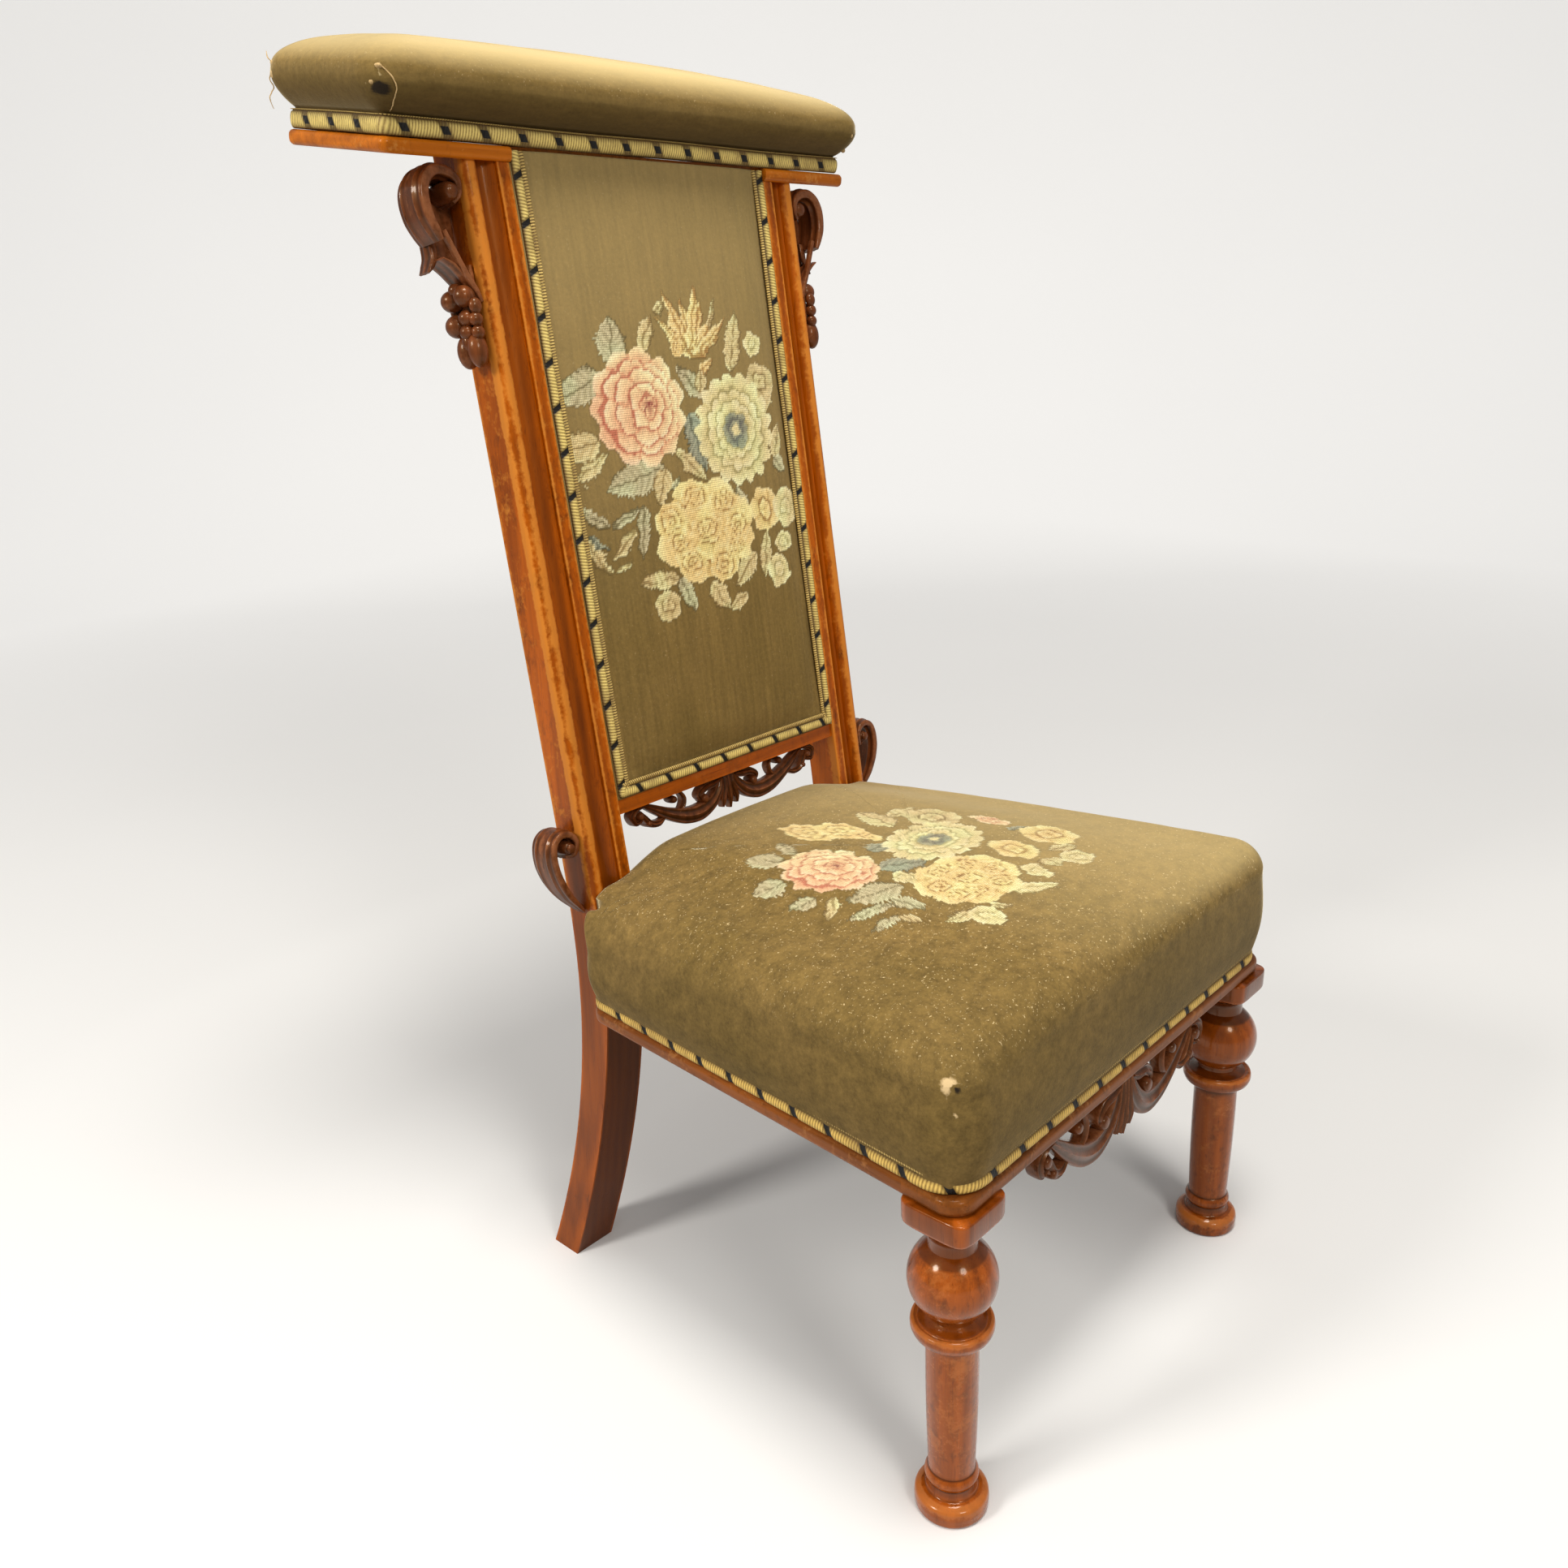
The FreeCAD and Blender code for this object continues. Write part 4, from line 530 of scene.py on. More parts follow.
def gimp_finish(name, bar_half, bar_tall, share=CORD_SHARE, tint=(1, 1, 1)):
    """Gold braid: bright plump segments between slanted black bars, and a dull ribbed cord beside it."""
    look, pitch = bpy.context.scene.chair_finishes, bpy.context.scene.chair_sizes.bar_pitch
    gold, brown = (solid(np.multiply(value, tint)) for value in (look.gimp_gold, look.gimp_shade))
    deep = solid(brown, 0.35)
    finish, n, place = material(name)
    split = n.add("SeparateXYZ", {0: place["UV"]})
    along, across = split[0], split[1]
    offset = across - share / 2
    near = abs((n.math("FRACT", offset * BAR_SLANT + along * (1 / pitch)) - 0.5) * pitch)
    rib, fine = (abs(n.math("SINE", along * (pi / step) + across * slant))
                 for step, slant in ((0.0021, 2.0), (0.0024, -3.0)))
    # Painted shade between the ribs, towards the bars and towards the cord's two sides, and between the thin
    # cord's ribs.
    ridge = (1.0 - fine ** 1.8) * (n.noise(place, 520.0, 3.0, 0.7) + 0.2)
    bright = n.mix(ridge.held(), gold, brown)
    bright = n.mix((1.0 - ((near - bar_half) * 420.0).held()) * 0.8, bright, deep)
    bright = n.mix((abs(offset) * (2.1 / share)).held() ** 2.6, bright, deep)
    main = across < share + 0.015
    colour = n.mix(main, n.mix(rib ** 1.6, deep, pale(232, 198, 116)), bright)
    tired = n.ramp(n.noise(place, 46.0, 4.0, 0.6), 0.46, 0.72)
    colour = n.mix(tired * 0.5, colour, pale(122, 92, 50))
    bar = (near < bar_half) * (abs(offset) < bar_tall)
    colour = n.mix(bar * main, colour, (0.006, 0.005, 0.004, 1))
    n.shade(n.noise(place, 2200.0, 1.0) * 0.35 + fine, Base_Color=colour, Roughness=0.58, Specular_IOR_Level=0.3)
    return finish


def cloth_finish(name, light, dark, threads, upright=False):
    """Woven cloth, webbing or hessian, level or upright."""
    finish, n, place = material(name)
    weave = n.use("Plain weave", Vector=n.stretch(place, turn=(pi / 2 if upright else 0, 0, 0)), Threads=threads)
    tone = (weave["Height"] * (weave["Thread tone"] * 0.8 + 0.5)).held()
    n.shade(weave["Height"], 0.6, 0.0005, Base_Color=n.mix(tone, dark, light), Roughness=0.9)
    return finish


def steel_finish(name, tint, stain, rough):
    """Drawn steel with fine scratches and a dull stain."""
    finish, n, place = material(name)
    old = n.use("Age", Vector=place, Rubbed=0.4, Grime=0.8)
    colour = n.mix(old["Dark mask"], tint, stain)
    n.shade(Base_Color=colour, Roughness=old["Scratches"] * 0.3 + rough, Metallic=1.0)
    return finish


# Needlework: each flower is a set of scalloped rings of petals, and each leaf a pointed lens

def palette(*rows):
    """Four tones, from the dark line to the pale rim."""
    return np.array([pale(*row)[:3] for row in rows])


ROSE = palette((196, 112, 86), (236, 178, 134), (250, 210, 160), (255, 232, 188))
CREAM = palette((170, 154, 100), (224, 204, 142), (240, 222, 164), (250, 236, 186))
GOLD = palette((158, 112, 58), (230, 194, 124), (245, 214, 146), (252, 230, 170))
SAGE = palette((108, 94, 58), (178, 164, 124), (200, 186, 144), (224, 210, 168))
SAND = palette((138, 110, 64), (204, 178, 122), (224, 200, 144), (240, 220, 166))
SLATE = palette((92, 90, 70), (140, 140, 118), (160, 158, 134), (186, 182, 150))
ROSE_HEART = palette((150, 66, 62), (150, 66, 62), (236, 178, 134), (250, 210, 160))
ASTER_HEART = palette((104, 104, 96), (104, 104, 96), (156, 154, 126), (184, 180, 146))

# Rings of petals from the middle: reach, number of petals and their phase
BIG_ROSE = [(0.20, 3, 0.4), (0.42, 5, 1.2), (0.66, 6, 0.3), (0.84, 8, 1.0), (1.04, 11, 0.2)]
ASTER = [(0.16, 5, 0.3), (0.34, 9, 0.8), (0.52, 11, 0.1), (0.74, 14, 0.9), (1.04, 17, 0.4)]
ROSETTE = [(0.22, 4, 0.2), (0.62, 6, 0.9), (1.06, 8, 0.3)]
SMALL = [(0.42, 4, 0.5), (1.05, 5, 0.2)]

# In millimetres: leaves from base to tip with a width, blooms and posy with a middle and two half widths
PANEL_LEAVES = [
    (-71, -145, -67, -106, 30, SAGE), (-83, -150, -127, -168, 26, SAGE), (-41, -135, -24, -108, 15, SAND),
    (23, -174, -4, -148, 19, SAGE), (59, -155, 75, -106, 20, SAND), (98, -174, 98, -191, 19, SAND),
    (-95, -200, -132, -206, 23, SAND), (-89, -210, -125, -230, 12, SAND), (-32, -226, -97, -238, 28, SAGE),
    (-32, -226, -46, -256, 20, SAND), (-18, -214, 13, -241, 16, SAND), (2, -185, 13, -234, 25, SLATE),
    (-61, -253, -71, -296, 14, SAGE), (78, -293, 67, -332, 16, SAND), (60, -307, 30, -333, 20, SAND),
    (-35, -316, -78, -315, 16, SAND), (-35, -316, -21, -347, 15, SAGE), (102, -233, 113, -200, 16, SAND),
    (100, -229, 115, -244, 12, SAGE), (47, -251, 60, -283, 15, SAGE), (-30, -245, -18, -236, 9, SAGE),
    (23, -155, 40, -142, 10, GOLD), (16, -142, -6, -105, 13, GOLD), (16, -142, 11, -95, 13, GOLD),
    (16, -142, 34, -96, 12, GOLD), (16, -142, 47, -110, 11, GOLD), (16, -142, 52, -126, 9, GOLD),
    (16, -142, -12, -122, 11, GOLD), (-124, -248, -98, -268, 10, SAGE), (-67, -256, -98, -268, 9, SAGE),
    (-123, -273, -104, -302, 12, SAND), (-74, -271, -101, -294, 11, SAND), (-82, -297, -103, -303, 7, SAND),
    (-119, -271, -103, -284, 8, SLATE), (0, -325, 18, -352, 19, SAND), (41, -342, 18, -352, 13, SAND),
    (-114, -229, -113, -236, 5, SAND), (16, -142, -8, -88, 12, GOLD), (14, -140, 30, -84, 13, GOLD),
    (16, -142, -20, -108, 10, GOLD), (22, -140, 60, -112, 10, GOLD), (-20, -106, -6, -96, 8, SAND),
    (24, -152, 18, -172, 13, SAND), (40, -120, 50, -96, 8, SAND),
]
PANEL_BLOOMS = [
    (95, -165, 19, 15, SMALL, SAND), (80, -273, 19, 19, SMALL, GOLD), (110, -274, 17, 17, SMALL, CREAM),
    (99, -304, 12, 9, SMALL, CREAM), (88, -328, 14, 15, SMALL, CREAM), (-52, -337, 14, 12, SMALL, SAND),
    (-1, -134, 6, 7, SMALL, GOLD), (92, -133, 11, 10, SMALL, CREAM), (4, -282, 56, 41, ROSETTE, GOLD),
]
PANEL_POSY = [
    (4, -280, 18, 12), (-35, -269, 17, 14), (-4, -252, 16, 11), (28, -260, 16, 12), (42, -282, 15, 13),
    (19, -312, 16, 14), (-18, -305, 17, 12), (-28, -288, 13, 10), (37, -299, 12, 10),
]
SEAT_LEAVES = [
    (-83, -17, -92, 13, 28, SAGE), (-107, -42, -130, -29, 30, SAGE), (-67, -16, -55, 11, 13, SAGE),
    (-113, -80, -134, -71, 19, SAGE), (-105, -90, -133, -108, 12, SAND), (-66, -122, -108, -105, 33, SAGE),
    (-92, -134, -128, -120, 13, SAGE), (-103, -149, -129, -144, 13, SAGE), (-103, -149, -101, -167, 12, SAND),
    (-87, -129, -84, -159, 17, SAGE), (27, -44, 37, 5, 26, SAND), (44, -25, 77, -26, 18, SAND),
    (-51, -87, -18, -113, 26, SLATE), (77, -121, 100, -127, 10, SLATE), (47, -176, 42, -192, 21, SAND),
    (43, -167, 58, -145, 13, SAND), (62, -169, 87, -179, 14, SAND), (-21, -188, 16, -209, 16, CREAM),
    (-62, -189, -91, -180, 15, SAND), (-52, -190, -39, -202, 9, SAND), (21, -177, 29, -184, 15, SAND),
    (-30, -61, -10, -64, 21, SLATE),
]
SEAT_BLOOMS = [
    (65, -54, 21, 24, SMALL, SAND), (21, -185, 8, 13, SMALL, CREAM), (-53, -117, 8, 15, SMALL, CREAM),
    (90, -96, 9, 18, SMALL, ROSE), (94, -150, 22, 23, SMALL, GOLD), (45, -149, 16, 21, SMALL, GOLD),
    (-64, -197, 12, 13, SMALL, CREAM), (67, -192, 14, 13, SMALL, CREAM), (-25, 6, 14, 27, ROSETTE, GOLD),
    (-7, -14, 14, 24, ROSETTE, GOLD), (-4, -38, 7, 16, SMALL, GOLD), (-25, -153, 43, 37, ROSETTE, GOLD),
]
SEAT_POSY = [
    (-25, -153, 15, 12), (-50, -145, 14, 12), (-30, -130, 13, 10), (-5, -138, 13, 11), (3, -158, 13, 12),
    (-12, -174, 13, 12), (-38, -171, 13, 11), (-52, -163, 11, 10),
]


def tones(share, colours):
    """Colour at a share from 0 to 1 of a palette's four tones."""
    return xyz(*(np.interp(share, steps(0, 1, 4), column) for column in colours.T))


def bloom(points, centre, radii, rings, colours, heart=None, heart_rings=0, lean=(0.0, 0.0)):
    """Flower: ring k ends at radius r_k (1 + a |sin(n_k phi / 2)|). Within a ring the tone goes from
    a dark line at its inner rim to a pale outer rim, and petals part at the zeros of the sine."""
    local = (points - centre) / radii
    rim_radius = np.hypot(*local.T)
    shifted = local - np.array(lean) * np.clip(1 - rim_radius, 0, 1)[:, None]
    colour, inner, done = np.zeros((len(points), 3)), 0.0, np.zeros(len(points), bool)
    for k, (reach, petals, phase) in enumerate(rings):
        spots = local if k == len(rings) - 1 else shifted
        radius, turn = np.hypot(*spots.T), np.arctan2(*spots.T[::-1])
        scallop = np.abs(np.sin(turn * petals / 2 + phase))
        outer = reach * (0.90 + 0.12 * scallop)
        here = ~done & (radius < outer)
        share = np.clip((radius - inner) / np.maximum(outer - inner, 1e-6), 0, 1)
        tone = np.where(share < 0.18, 0.06, 0.36 + 0.64 * share) * np.where(scallop < 0.2, 0.45, 1)
        tone = tone * (1 - 0.14 * (1 + np.sin(turn * 3 + k)))
        colour[here] = tones(tone, heart if k < heart_rings else colours)[here]
        done |= here
        inner = outer
    return colour, done


def leaf(points, base, tip, width, colours):
    """Leaf: half width w/2 sin(pi s^0.8)^0.8 along its length s, toothed, with a dark rim, a rib and
    slanting veins."""
    base, tip = np.array(base, float), np.array(tip, float)
    axis, length = unit(tip - base), np.hypot(*(tip - base))
    s, t = (points - base) @ axis / length, (points - base) @ np.array([-axis[1], axis[0]])
    along, aside = np.clip(s, 0, 1), np.abs(t)
    half = width / 2 * np.sin(pi * along ** 0.8) ** 0.8
    half = half * (1 + 0.11 * np.sin(along * length * pi / 2 + np.sign(t)))
    tone = 0.62 + 0.25 * np.sin((along * length - aside * 0.9) * 2 * pi / 6.5)
    tone = np.where(aside > half - 1.5, np.where(t < 0, 0.05, 0.95), tone)
    return tones(np.where(aside < 0.9, 0.1, tone), colours), (s > 0) & (s < 1) & (aside < half)


def bouquet(points, leaves, blooms, posy, rose, aster):
    """Paints the flowers onto points in millimetres: a colour and a cover for each point."""
    pitch = bpy.context.scene.chair_finishes.stitch_pitch * 1000
    cells = (np.floor(points / pitch) + 0.5) * pitch
    cells = cells + 2.6 * xyz(waves(cells, 17.0, 1), waves(cells, 17.0, 2))
    colour, cover = np.zeros((len(points), 3)), np.zeros(len(points))

    def lay(tint, here):
        colour[here] = tint[here]
        cover[here] = 1.0
    for x0, y0, x1, y1, width, colours in leaves:
        lay(*leaf(cells, (x0, y0), (x1, y1), width, colours))
    for x, y, rx, ry, rings, colours in blooms + [spot + (ROSETTE, GOLD) for spot in posy]:
        lay(*bloom(cells, (x, y), (rx, ry), rings, colours))
    lay(*bloom(cells, aster[:2], aster[2:], ASTER, CREAM, ASTER_HEART, 2))
    colour[np.hypot(*((cells - aster[:2]) / aster[2:]).T) < 0.10] = CREAM[2]
    tint, here = bloom(cells, rose[:2], rose[2:], BIG_ROSE, ROSE, ROSE_HEART, 1, (0.28, 0.04))
    blush = np.clip((rose[0] - cells[:, 0] + 0.5 * (rose[1] - cells[:, 1])) / rose[2], -1, 1)[:, None]
    lay(tint * (1 - blush * np.array([0.01, 0.13, 0.10])), here)
    sunlit = np.clip(waves(cells, 36.0, 11) * 1.6 + 0.35, 0, 1)[:, None]
    speck = np.sin(cells[:, 0] * 12.9898 + cells[:, 1] * 78.233) * 43758.5453
    colour *= (1 + sunlit * np.array([0.05, 0.20, 0.20])) * (0.86 + 0.28 * (speck - np.floor(speck)))[:, None]
    return colour, cover


def paint(mesh, colour, cover):
    """Stores the bouquet's colour and cover on the points of a mesh."""
    layer = mesh.color_attributes.new("bouquet", "FLOAT_COLOR", "POINT")
    layer.data.foreach_set("color", join([colour, cover[:, None]], 1).astype(np.float32).ravel())


# Posts

def post_section():
    """Outline of the post on its top end, as x from the inner face and w from the front: a flat strip,
    a groove, a hollow and a corner bead, with its arrises eased."""
    def sweep(cx, cy, r, a, b, n):
        turn = np.radians(steps(a, b, n))
        return xyz(cx + r * np.cos(turn), cy + r * np.sin(turn))
    ease, inner, outer = 0.0011, 0.0345, 0.0349
    t = steps(0, 1, 12)
    hollow = xyz(0.0135 + 0.0123 * t, 0.0013 + 0.0066 * np.sin(t * pi * 0.62) ** 0.9 * (1 - 0.02 * t))
    return join([
        xyz(0.0, steps(inner, ease, 8)), sweep(ease, ease, ease, 180, 270, 5),
        xyz(steps(0.0018, 0.0104, 7), 0.0), sweep(0.0108, 0.0008, 0.0008, 270, 360, 4),
        [[0.0117, 0.0026], [0.0128, 0.0026]], hollow, sweep(0.0330, 0.0080, 0.0070, 186, 360, 22),
        xyz(POST_WIDE, steps(0.0095, inner, 10)), sweep(POST_WIDE - ease, outer, ease, 0, 90, 5),
        xyz(steps(0.037, 0.003, 6), POST_DEEP), sweep(ease, outer, ease, 90, 180, 4)])


def post_mesh(name, side):
    """Right or left post: the section is carried from the sole to the crest board. Above the knee the
    front line leans by the rake, below it both lines are arcs that sweep to the rear and outwards."""
    across, deep = post_section().T
    z = join([steps(0, 0.006, 4), steps(0.012, 0.36, 60), steps(0.365, CREST_Z, 60)])[:, None]
    lean = tan(RAKE)

    def face(top_y, top_z, knee, foot_y, power):
        straight = top_y - (top_z - z) * lean
        return straight + (foot_y - (top_y - top_z * lean)) * np.clip((knee - z) / knee, 0, 1) ** power
    front = face(0.0, CREST_Z, 0.345, -0.031, 1.6)
    rear = face(POST_DEEP * cos(RAKE), CREST_Z - POST_DEEP * sin(RAKE), 0.380, 0.001, 2.0)
    splay = 0.026 * ramp(z, 0.300, 0.0) ** 2
    moulded, share = ramp(z, 0.338, 0.352), deep / POST_DEEP
    share = share * moulded + np.where(share < 0.3, 0, share) * (1 - moulded)
    y = front + (rear - front) * share + CREST_Y
    under = CREST_Z + (y - CREST_Y + CREST_SETBACK) * tan(SLOPE)
    top_z = z + (under - CREST_Z) * ramp(z, 0.80, CREST_Z)
    grid = xyz(side * (POST_IN + across + splay), y + (top_z - z) * lean, top_z)
    ahead = deep < 0.010
    arris, bead = (np.max([bell(across, *line) for line in lines], 0) * ahead
                   for lines in (((0.0, 0.0022), (0.040, 0.0016)), ((0.0108, 0.0015), (0.0330, 0.0040))))
    arris = np.maximum(arris, bell(across, POST_WIDE, 0.0016) * bell(deep, POST_DEEP, 0.0022))
    # Painted shade in the groove and the hollow of the moulding; the arrises and the bead get rubbed light
    # places.
    hollow = np.maximum(bell(across, 0.0123, 0.0012) * ahead,
                        0.62 * bell(across, 0.0205, 0.0052, 4) * (deep < 0.0095))
    wear_and_shade = np.maximum(arris, bead * moulded) - 0.9 * hollow * moulded
    # Painted shadow below the seat, darker on the front face.
    wear_and_shade = wear_and_shade - ramp(z, 0.37, 0.32) * (0.55 + 0.6 * ahead)
    mesh = tube_mesh(name, grid, crease=38)
    set_mask(mesh, "wear_and_shade", join([[0], wear_and_shade.ravel(), [0]])[:len(mesh.vertices)])
    return mesh


# Carving, all in millimetres

def carving_plane(side, top):
    """The upright plane of the back outside one post, with u outwards and v down from a top edge."""
    return lambda u, w, v: on_back(side * (POST_OUT + u), w, v + top)


def carved(points, widths, thicks, plane, flutes=3, middle=19.0, count=90, relief=False):
    """Strap of a carving: a rounded flat section carried along a path in a plane. Its width runs from
    the front to the rear of the carving, or for relief its thickness does. The broad faces are
    grooved by cos(flutes pi t), with t from -1 to 1 over them."""
    path = curve_through(np.array(points) * MM, count)
    widths, thicks = (np.interp(steps(0, 1, count), steps(0, 1, len(row)), row)[:, None] * MM / 2
                      for row in (widths, thicks))
    along = unit(np.gradient(path, axis=0))
    turn = steps(0, 2 * pi, 44, endpoint=False)
    t, h = (np.sign(wave) * np.abs(wave) ** power for wave, power in ((np.cos(turn), 0.55), (np.sin(turn), 0.7)))
    groove = 1 - 0.30 * (1 - np.cos(flutes * pi * t)) / 2 * (1 - np.abs(t) ** 6)
    rise, across = (thicks * t, widths * (h * groove)) if relief else (thicks * (h * groove), widths * t)
    mesh = tube_mesh("strap", plane(path[:, :1] - along[:, 1:] * rise, middle * MM + across,
                                    path[:, 1:] + along[:, :1] * rise))
    # Painted shade in the flutes; the ridges between them get rubbed light places.
    set_mask(mesh, "wear_and_shade", join([[0], np.tile(0.5 - 4.6 * (1 - groove), count), [0]]))
    return mesh


def ball(centre, radii, plane, roller=False, rows=18, ring=28):
    """Berry or volute: a ball of three half widths, or a roller with round ends across the carving."""
    lat, lon = steps(-pi / 2, pi / 2, rows)[:, None], steps(0, 2 * pi, ring, endpoint=False)
    c = np.cos(lat) ** (0.45 if roller else 1.0)
    u, w, v = (MM * (middle + radius * way) for middle, radius, way
               in zip(centre, radii, (c * np.cos(lon), np.sin(lat), c * np.sin(lon))))
    return surface("ball", plane(u, w, v), close_cols=True, poles=(0, -1))


def volute(centre, radii, eye, plane):
    """Roller, and the small boss on its front end."""
    return [ball(centre, radii, plane, True), ball(*eye, plane)]


# Berries of the crest bracket: middle and half widths
BERRIES = [
    ((13.0, 25.2, -91), (8.8, 8.4, 7.8)), ((11.8, 11.6, -89.5), (8.2, 7.6, 7.8)),
    ((8.6, 4.6, -97), (5.0, 3.8, 5.8)), ((13.8, 18.4, -84.5), (5.2, 5.0, 5.0)),
    ((13.2, 24.6, -108.5), (8.8, 8.4, 8.2)), ((12.2, 12.8, -104.5), (6.2, 5.8, 5.8)),
    ((9.2, 5.8, -106), (5.4, 4.4, 5.2)), ((12.4, 14.4, -114), (6.0, 5.6, 5.6)),
    ((9.0, 6.2, -115), (5.2, 4.2, 5.0)), ((7.0, 31.0, -98), (5.0, 4.0, 5.6)),
    ((10.0, 21.8, -127), (7.8, 7.6, 12.0)), ((9.4, 9.8, -127), (7.6, 7.0, 12.2)),
    ((11.8, 15.8, -121), (5.0, 4.8, 7.0)),
]


def bracket_mesh(name, side):
    """Crest bracket: fluted scroll round a volute, flared leaf, ridge stem and hanging berries."""
    plane = carving_plane(side, 0.0)
    parts = [
        carved([(9, -27), (4.4, -21), (5, -12.5), (12, -7.4), (21.5, -6.2), (29.5, -10.5), (34, -18), (35, -27),
                (33.4, -37), (29.5, -46), (26.5, -52.5)], [20, 26, 29, 30, 30, 31, 31, 31, 31, 30, 28],
               [5, 7, 9, 11, 11.5, 12, 12.4, 12.4, 11.5, 9.5, 6], plane, 4, count=150, middle=17.4),
        carved([(14, -14), (15, -28), (14, -44), (10, -60), (6.5, -74), (3, -90)], [5, 5, 5, 5, 5, 4],
               [22, 30, 27, 18, 12, 6], plane, 0, middle=27.0),
        carved([(25, -46), (24.4, -53), (25, -61), (28, -67), (31.5, -71.5)], [12, 14, 15, 15, 13],
               [9, 8.5, 7, 5.5, 2.2], plane, 2, middle=26.5),
        carved([(23, -46), (19, -55), (14.5, -65), (9.5, -76), (4, -86), (1, -94)], [5, 5, 4.6, 4.4, 4.2, 3.5],
               [4.5, 4.2, 4, 4, 4, 3], plane, 0, middle=7.0),
        carved([(26, -64), (19, -68), (12, -74.5), (6.5, -82), (2.5, -91)], [24, 25, 24, 22, 18],
               [2.4, 4.5, 5.5, 5, 4], plane, 3),
        carved([(1.6, -68), (4.0, -84), (4.6, -110), (3.4, -135)], [16, 22, 22, 12], [4, 8, 8.5, 5], plane, 1)]
    parts += volute((10.5, 18, -19.5), (7.6, 15.0, 7.6), ((10.0, 4.6, -19.0), (4.4, 2.2, 4.4)), plane)
    return joined(name, parts + [ball(*berry, plane) for berry in BERRIES])


def ear_mesh(name, side):
    """Scroll at seat level: fluted arch round a ball, then a long tail that tapers down to the post."""
    plane = carving_plane(side, (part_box("seat_scroll_right")[1].z - CREST_Z) / cos(RAKE) + 0.0006)
    arch = carved([(13, -24), (6, -23.5), (3.4, -14), (8, -7), (16, -4.8), (23.5, -9), (26.8, -18), (26.6, -30),
                   (23, -43), (16.5, -56), (8, -67), (1.5, -75)], [16, 24, 28, 28, 28, 28, 28, 28, 26, 22, 16, 9],
                  [4, 6, 7, 8, 8.8, 9, 9, 9, 9, 8, 6, 3], plane, 4, count=140)
    eye = ((11.0, 5.2, -17.2), (4.0, 2.2, 4.0))
    return joined(name, [arch] + volute((11.0, 19, -17.2), (6.4, 13.0, 6.4), eye, plane))


# Straps of one half of an apron: path, widths as shares of its thickness, thicknesses, flutes and rings
APRON_STRAPS = [
    ([(7, -3), (12, -13), (22, -22.5), (37, -27.5), (54, -26), (72, -19), (88, -10), (101, -2)],
     [0.8, 0.95, 1, 1, 1, 1, 0.9, 0.7], [5.5, 9.5, 13.5, 16, 15, 11.5, 8, 4], 2, 110),
    ([(9, -4), (18, -6), (28, -7), (36, -12), (33, -18)], [0.9, 1, 1, 0.9, 0.7], [5, 8, 8, 6, 3], 2, 80),
    ([(58, -2), (54, -9), (56, -16), (62, -20)], [0.7, 0.85, 0.85, 0.7], [3.5, 5, 5, 3.5], 1, 80),
    ([(78, -20), (86, -23), (95, -21), (101, -14), (105, -8)],
     [0.7, 0.9, 1, 0.9, 0.7], [2.5, 6, 6.5, 6, 4], 2, 80),
    ([(100, -3), (108, -4), (114, -9), (111, -16), (104, -15)], [0.9, 1, 1, 0.95, 0.8], [4, 5.5, 6, 5, 4], 2, 80),
]
APRON_EYES = ((31, -16.5, 4.6), (106, -11, 3.8), (67, -7, 3.6), (98, -20, 3.0))


def apron_mesh(name, plane, thick, drop, half):
    """Pierced apron: a fluted stem, and on each side a heavy crescent that hangs from the stem and
    rises to the rail, a lobe and a ball in its eye, and an outer volute. Places are shares of a
    half span of 118 and a drop of 36."""
    size = np.array([half / 118.0, drop / 36.0])
    bold = size[1] ** 0.75
    parts = [carved(np.array([(-118, 0), (0, 0), (118, 0)]) * size - [0, 1.5], [thick * 0.9] * 3, [3.0] * 3,
                    plane, 1, thick / 2)]
    for turn, root in ((-22, -4.5), (0, 0), (22, 4.5)):
        reach = 34.0 - abs(turn) * 0.12
        foot = root + sin(radians(turn)) * reach * 0.30
        path = np.array([(root, -1 / size[1]), (root, -12), (foot, -24), (foot + root * 0.2, -reach)]) * size
        parts.append(carved(path, [thick * 0.9, thick, thick, thick * 0.6],
                            np.array([6.0, 6.5, 6.5, 2.5]) * bold ** 0.5, plane, 2, thick / 2, 50, True))
    for points, widths, thicks, flutes, count in APRON_STRAPS:
        for side in (1, -1):
            parts.append(carved(np.array(points) * size * [side, 1], np.array(widths) * thick,
                                np.array(thicks) * bold, plane, flutes, thick / 2, count, True))
    for side in (1, -1):
        for u, v, r in APRON_EYES:
            parts.append(ball((side * u * size[0], thick / 2, v * size[1]), (r * bold, thick * 0.54, r * bold),
                              plane, True))
    return joined(name, parts)


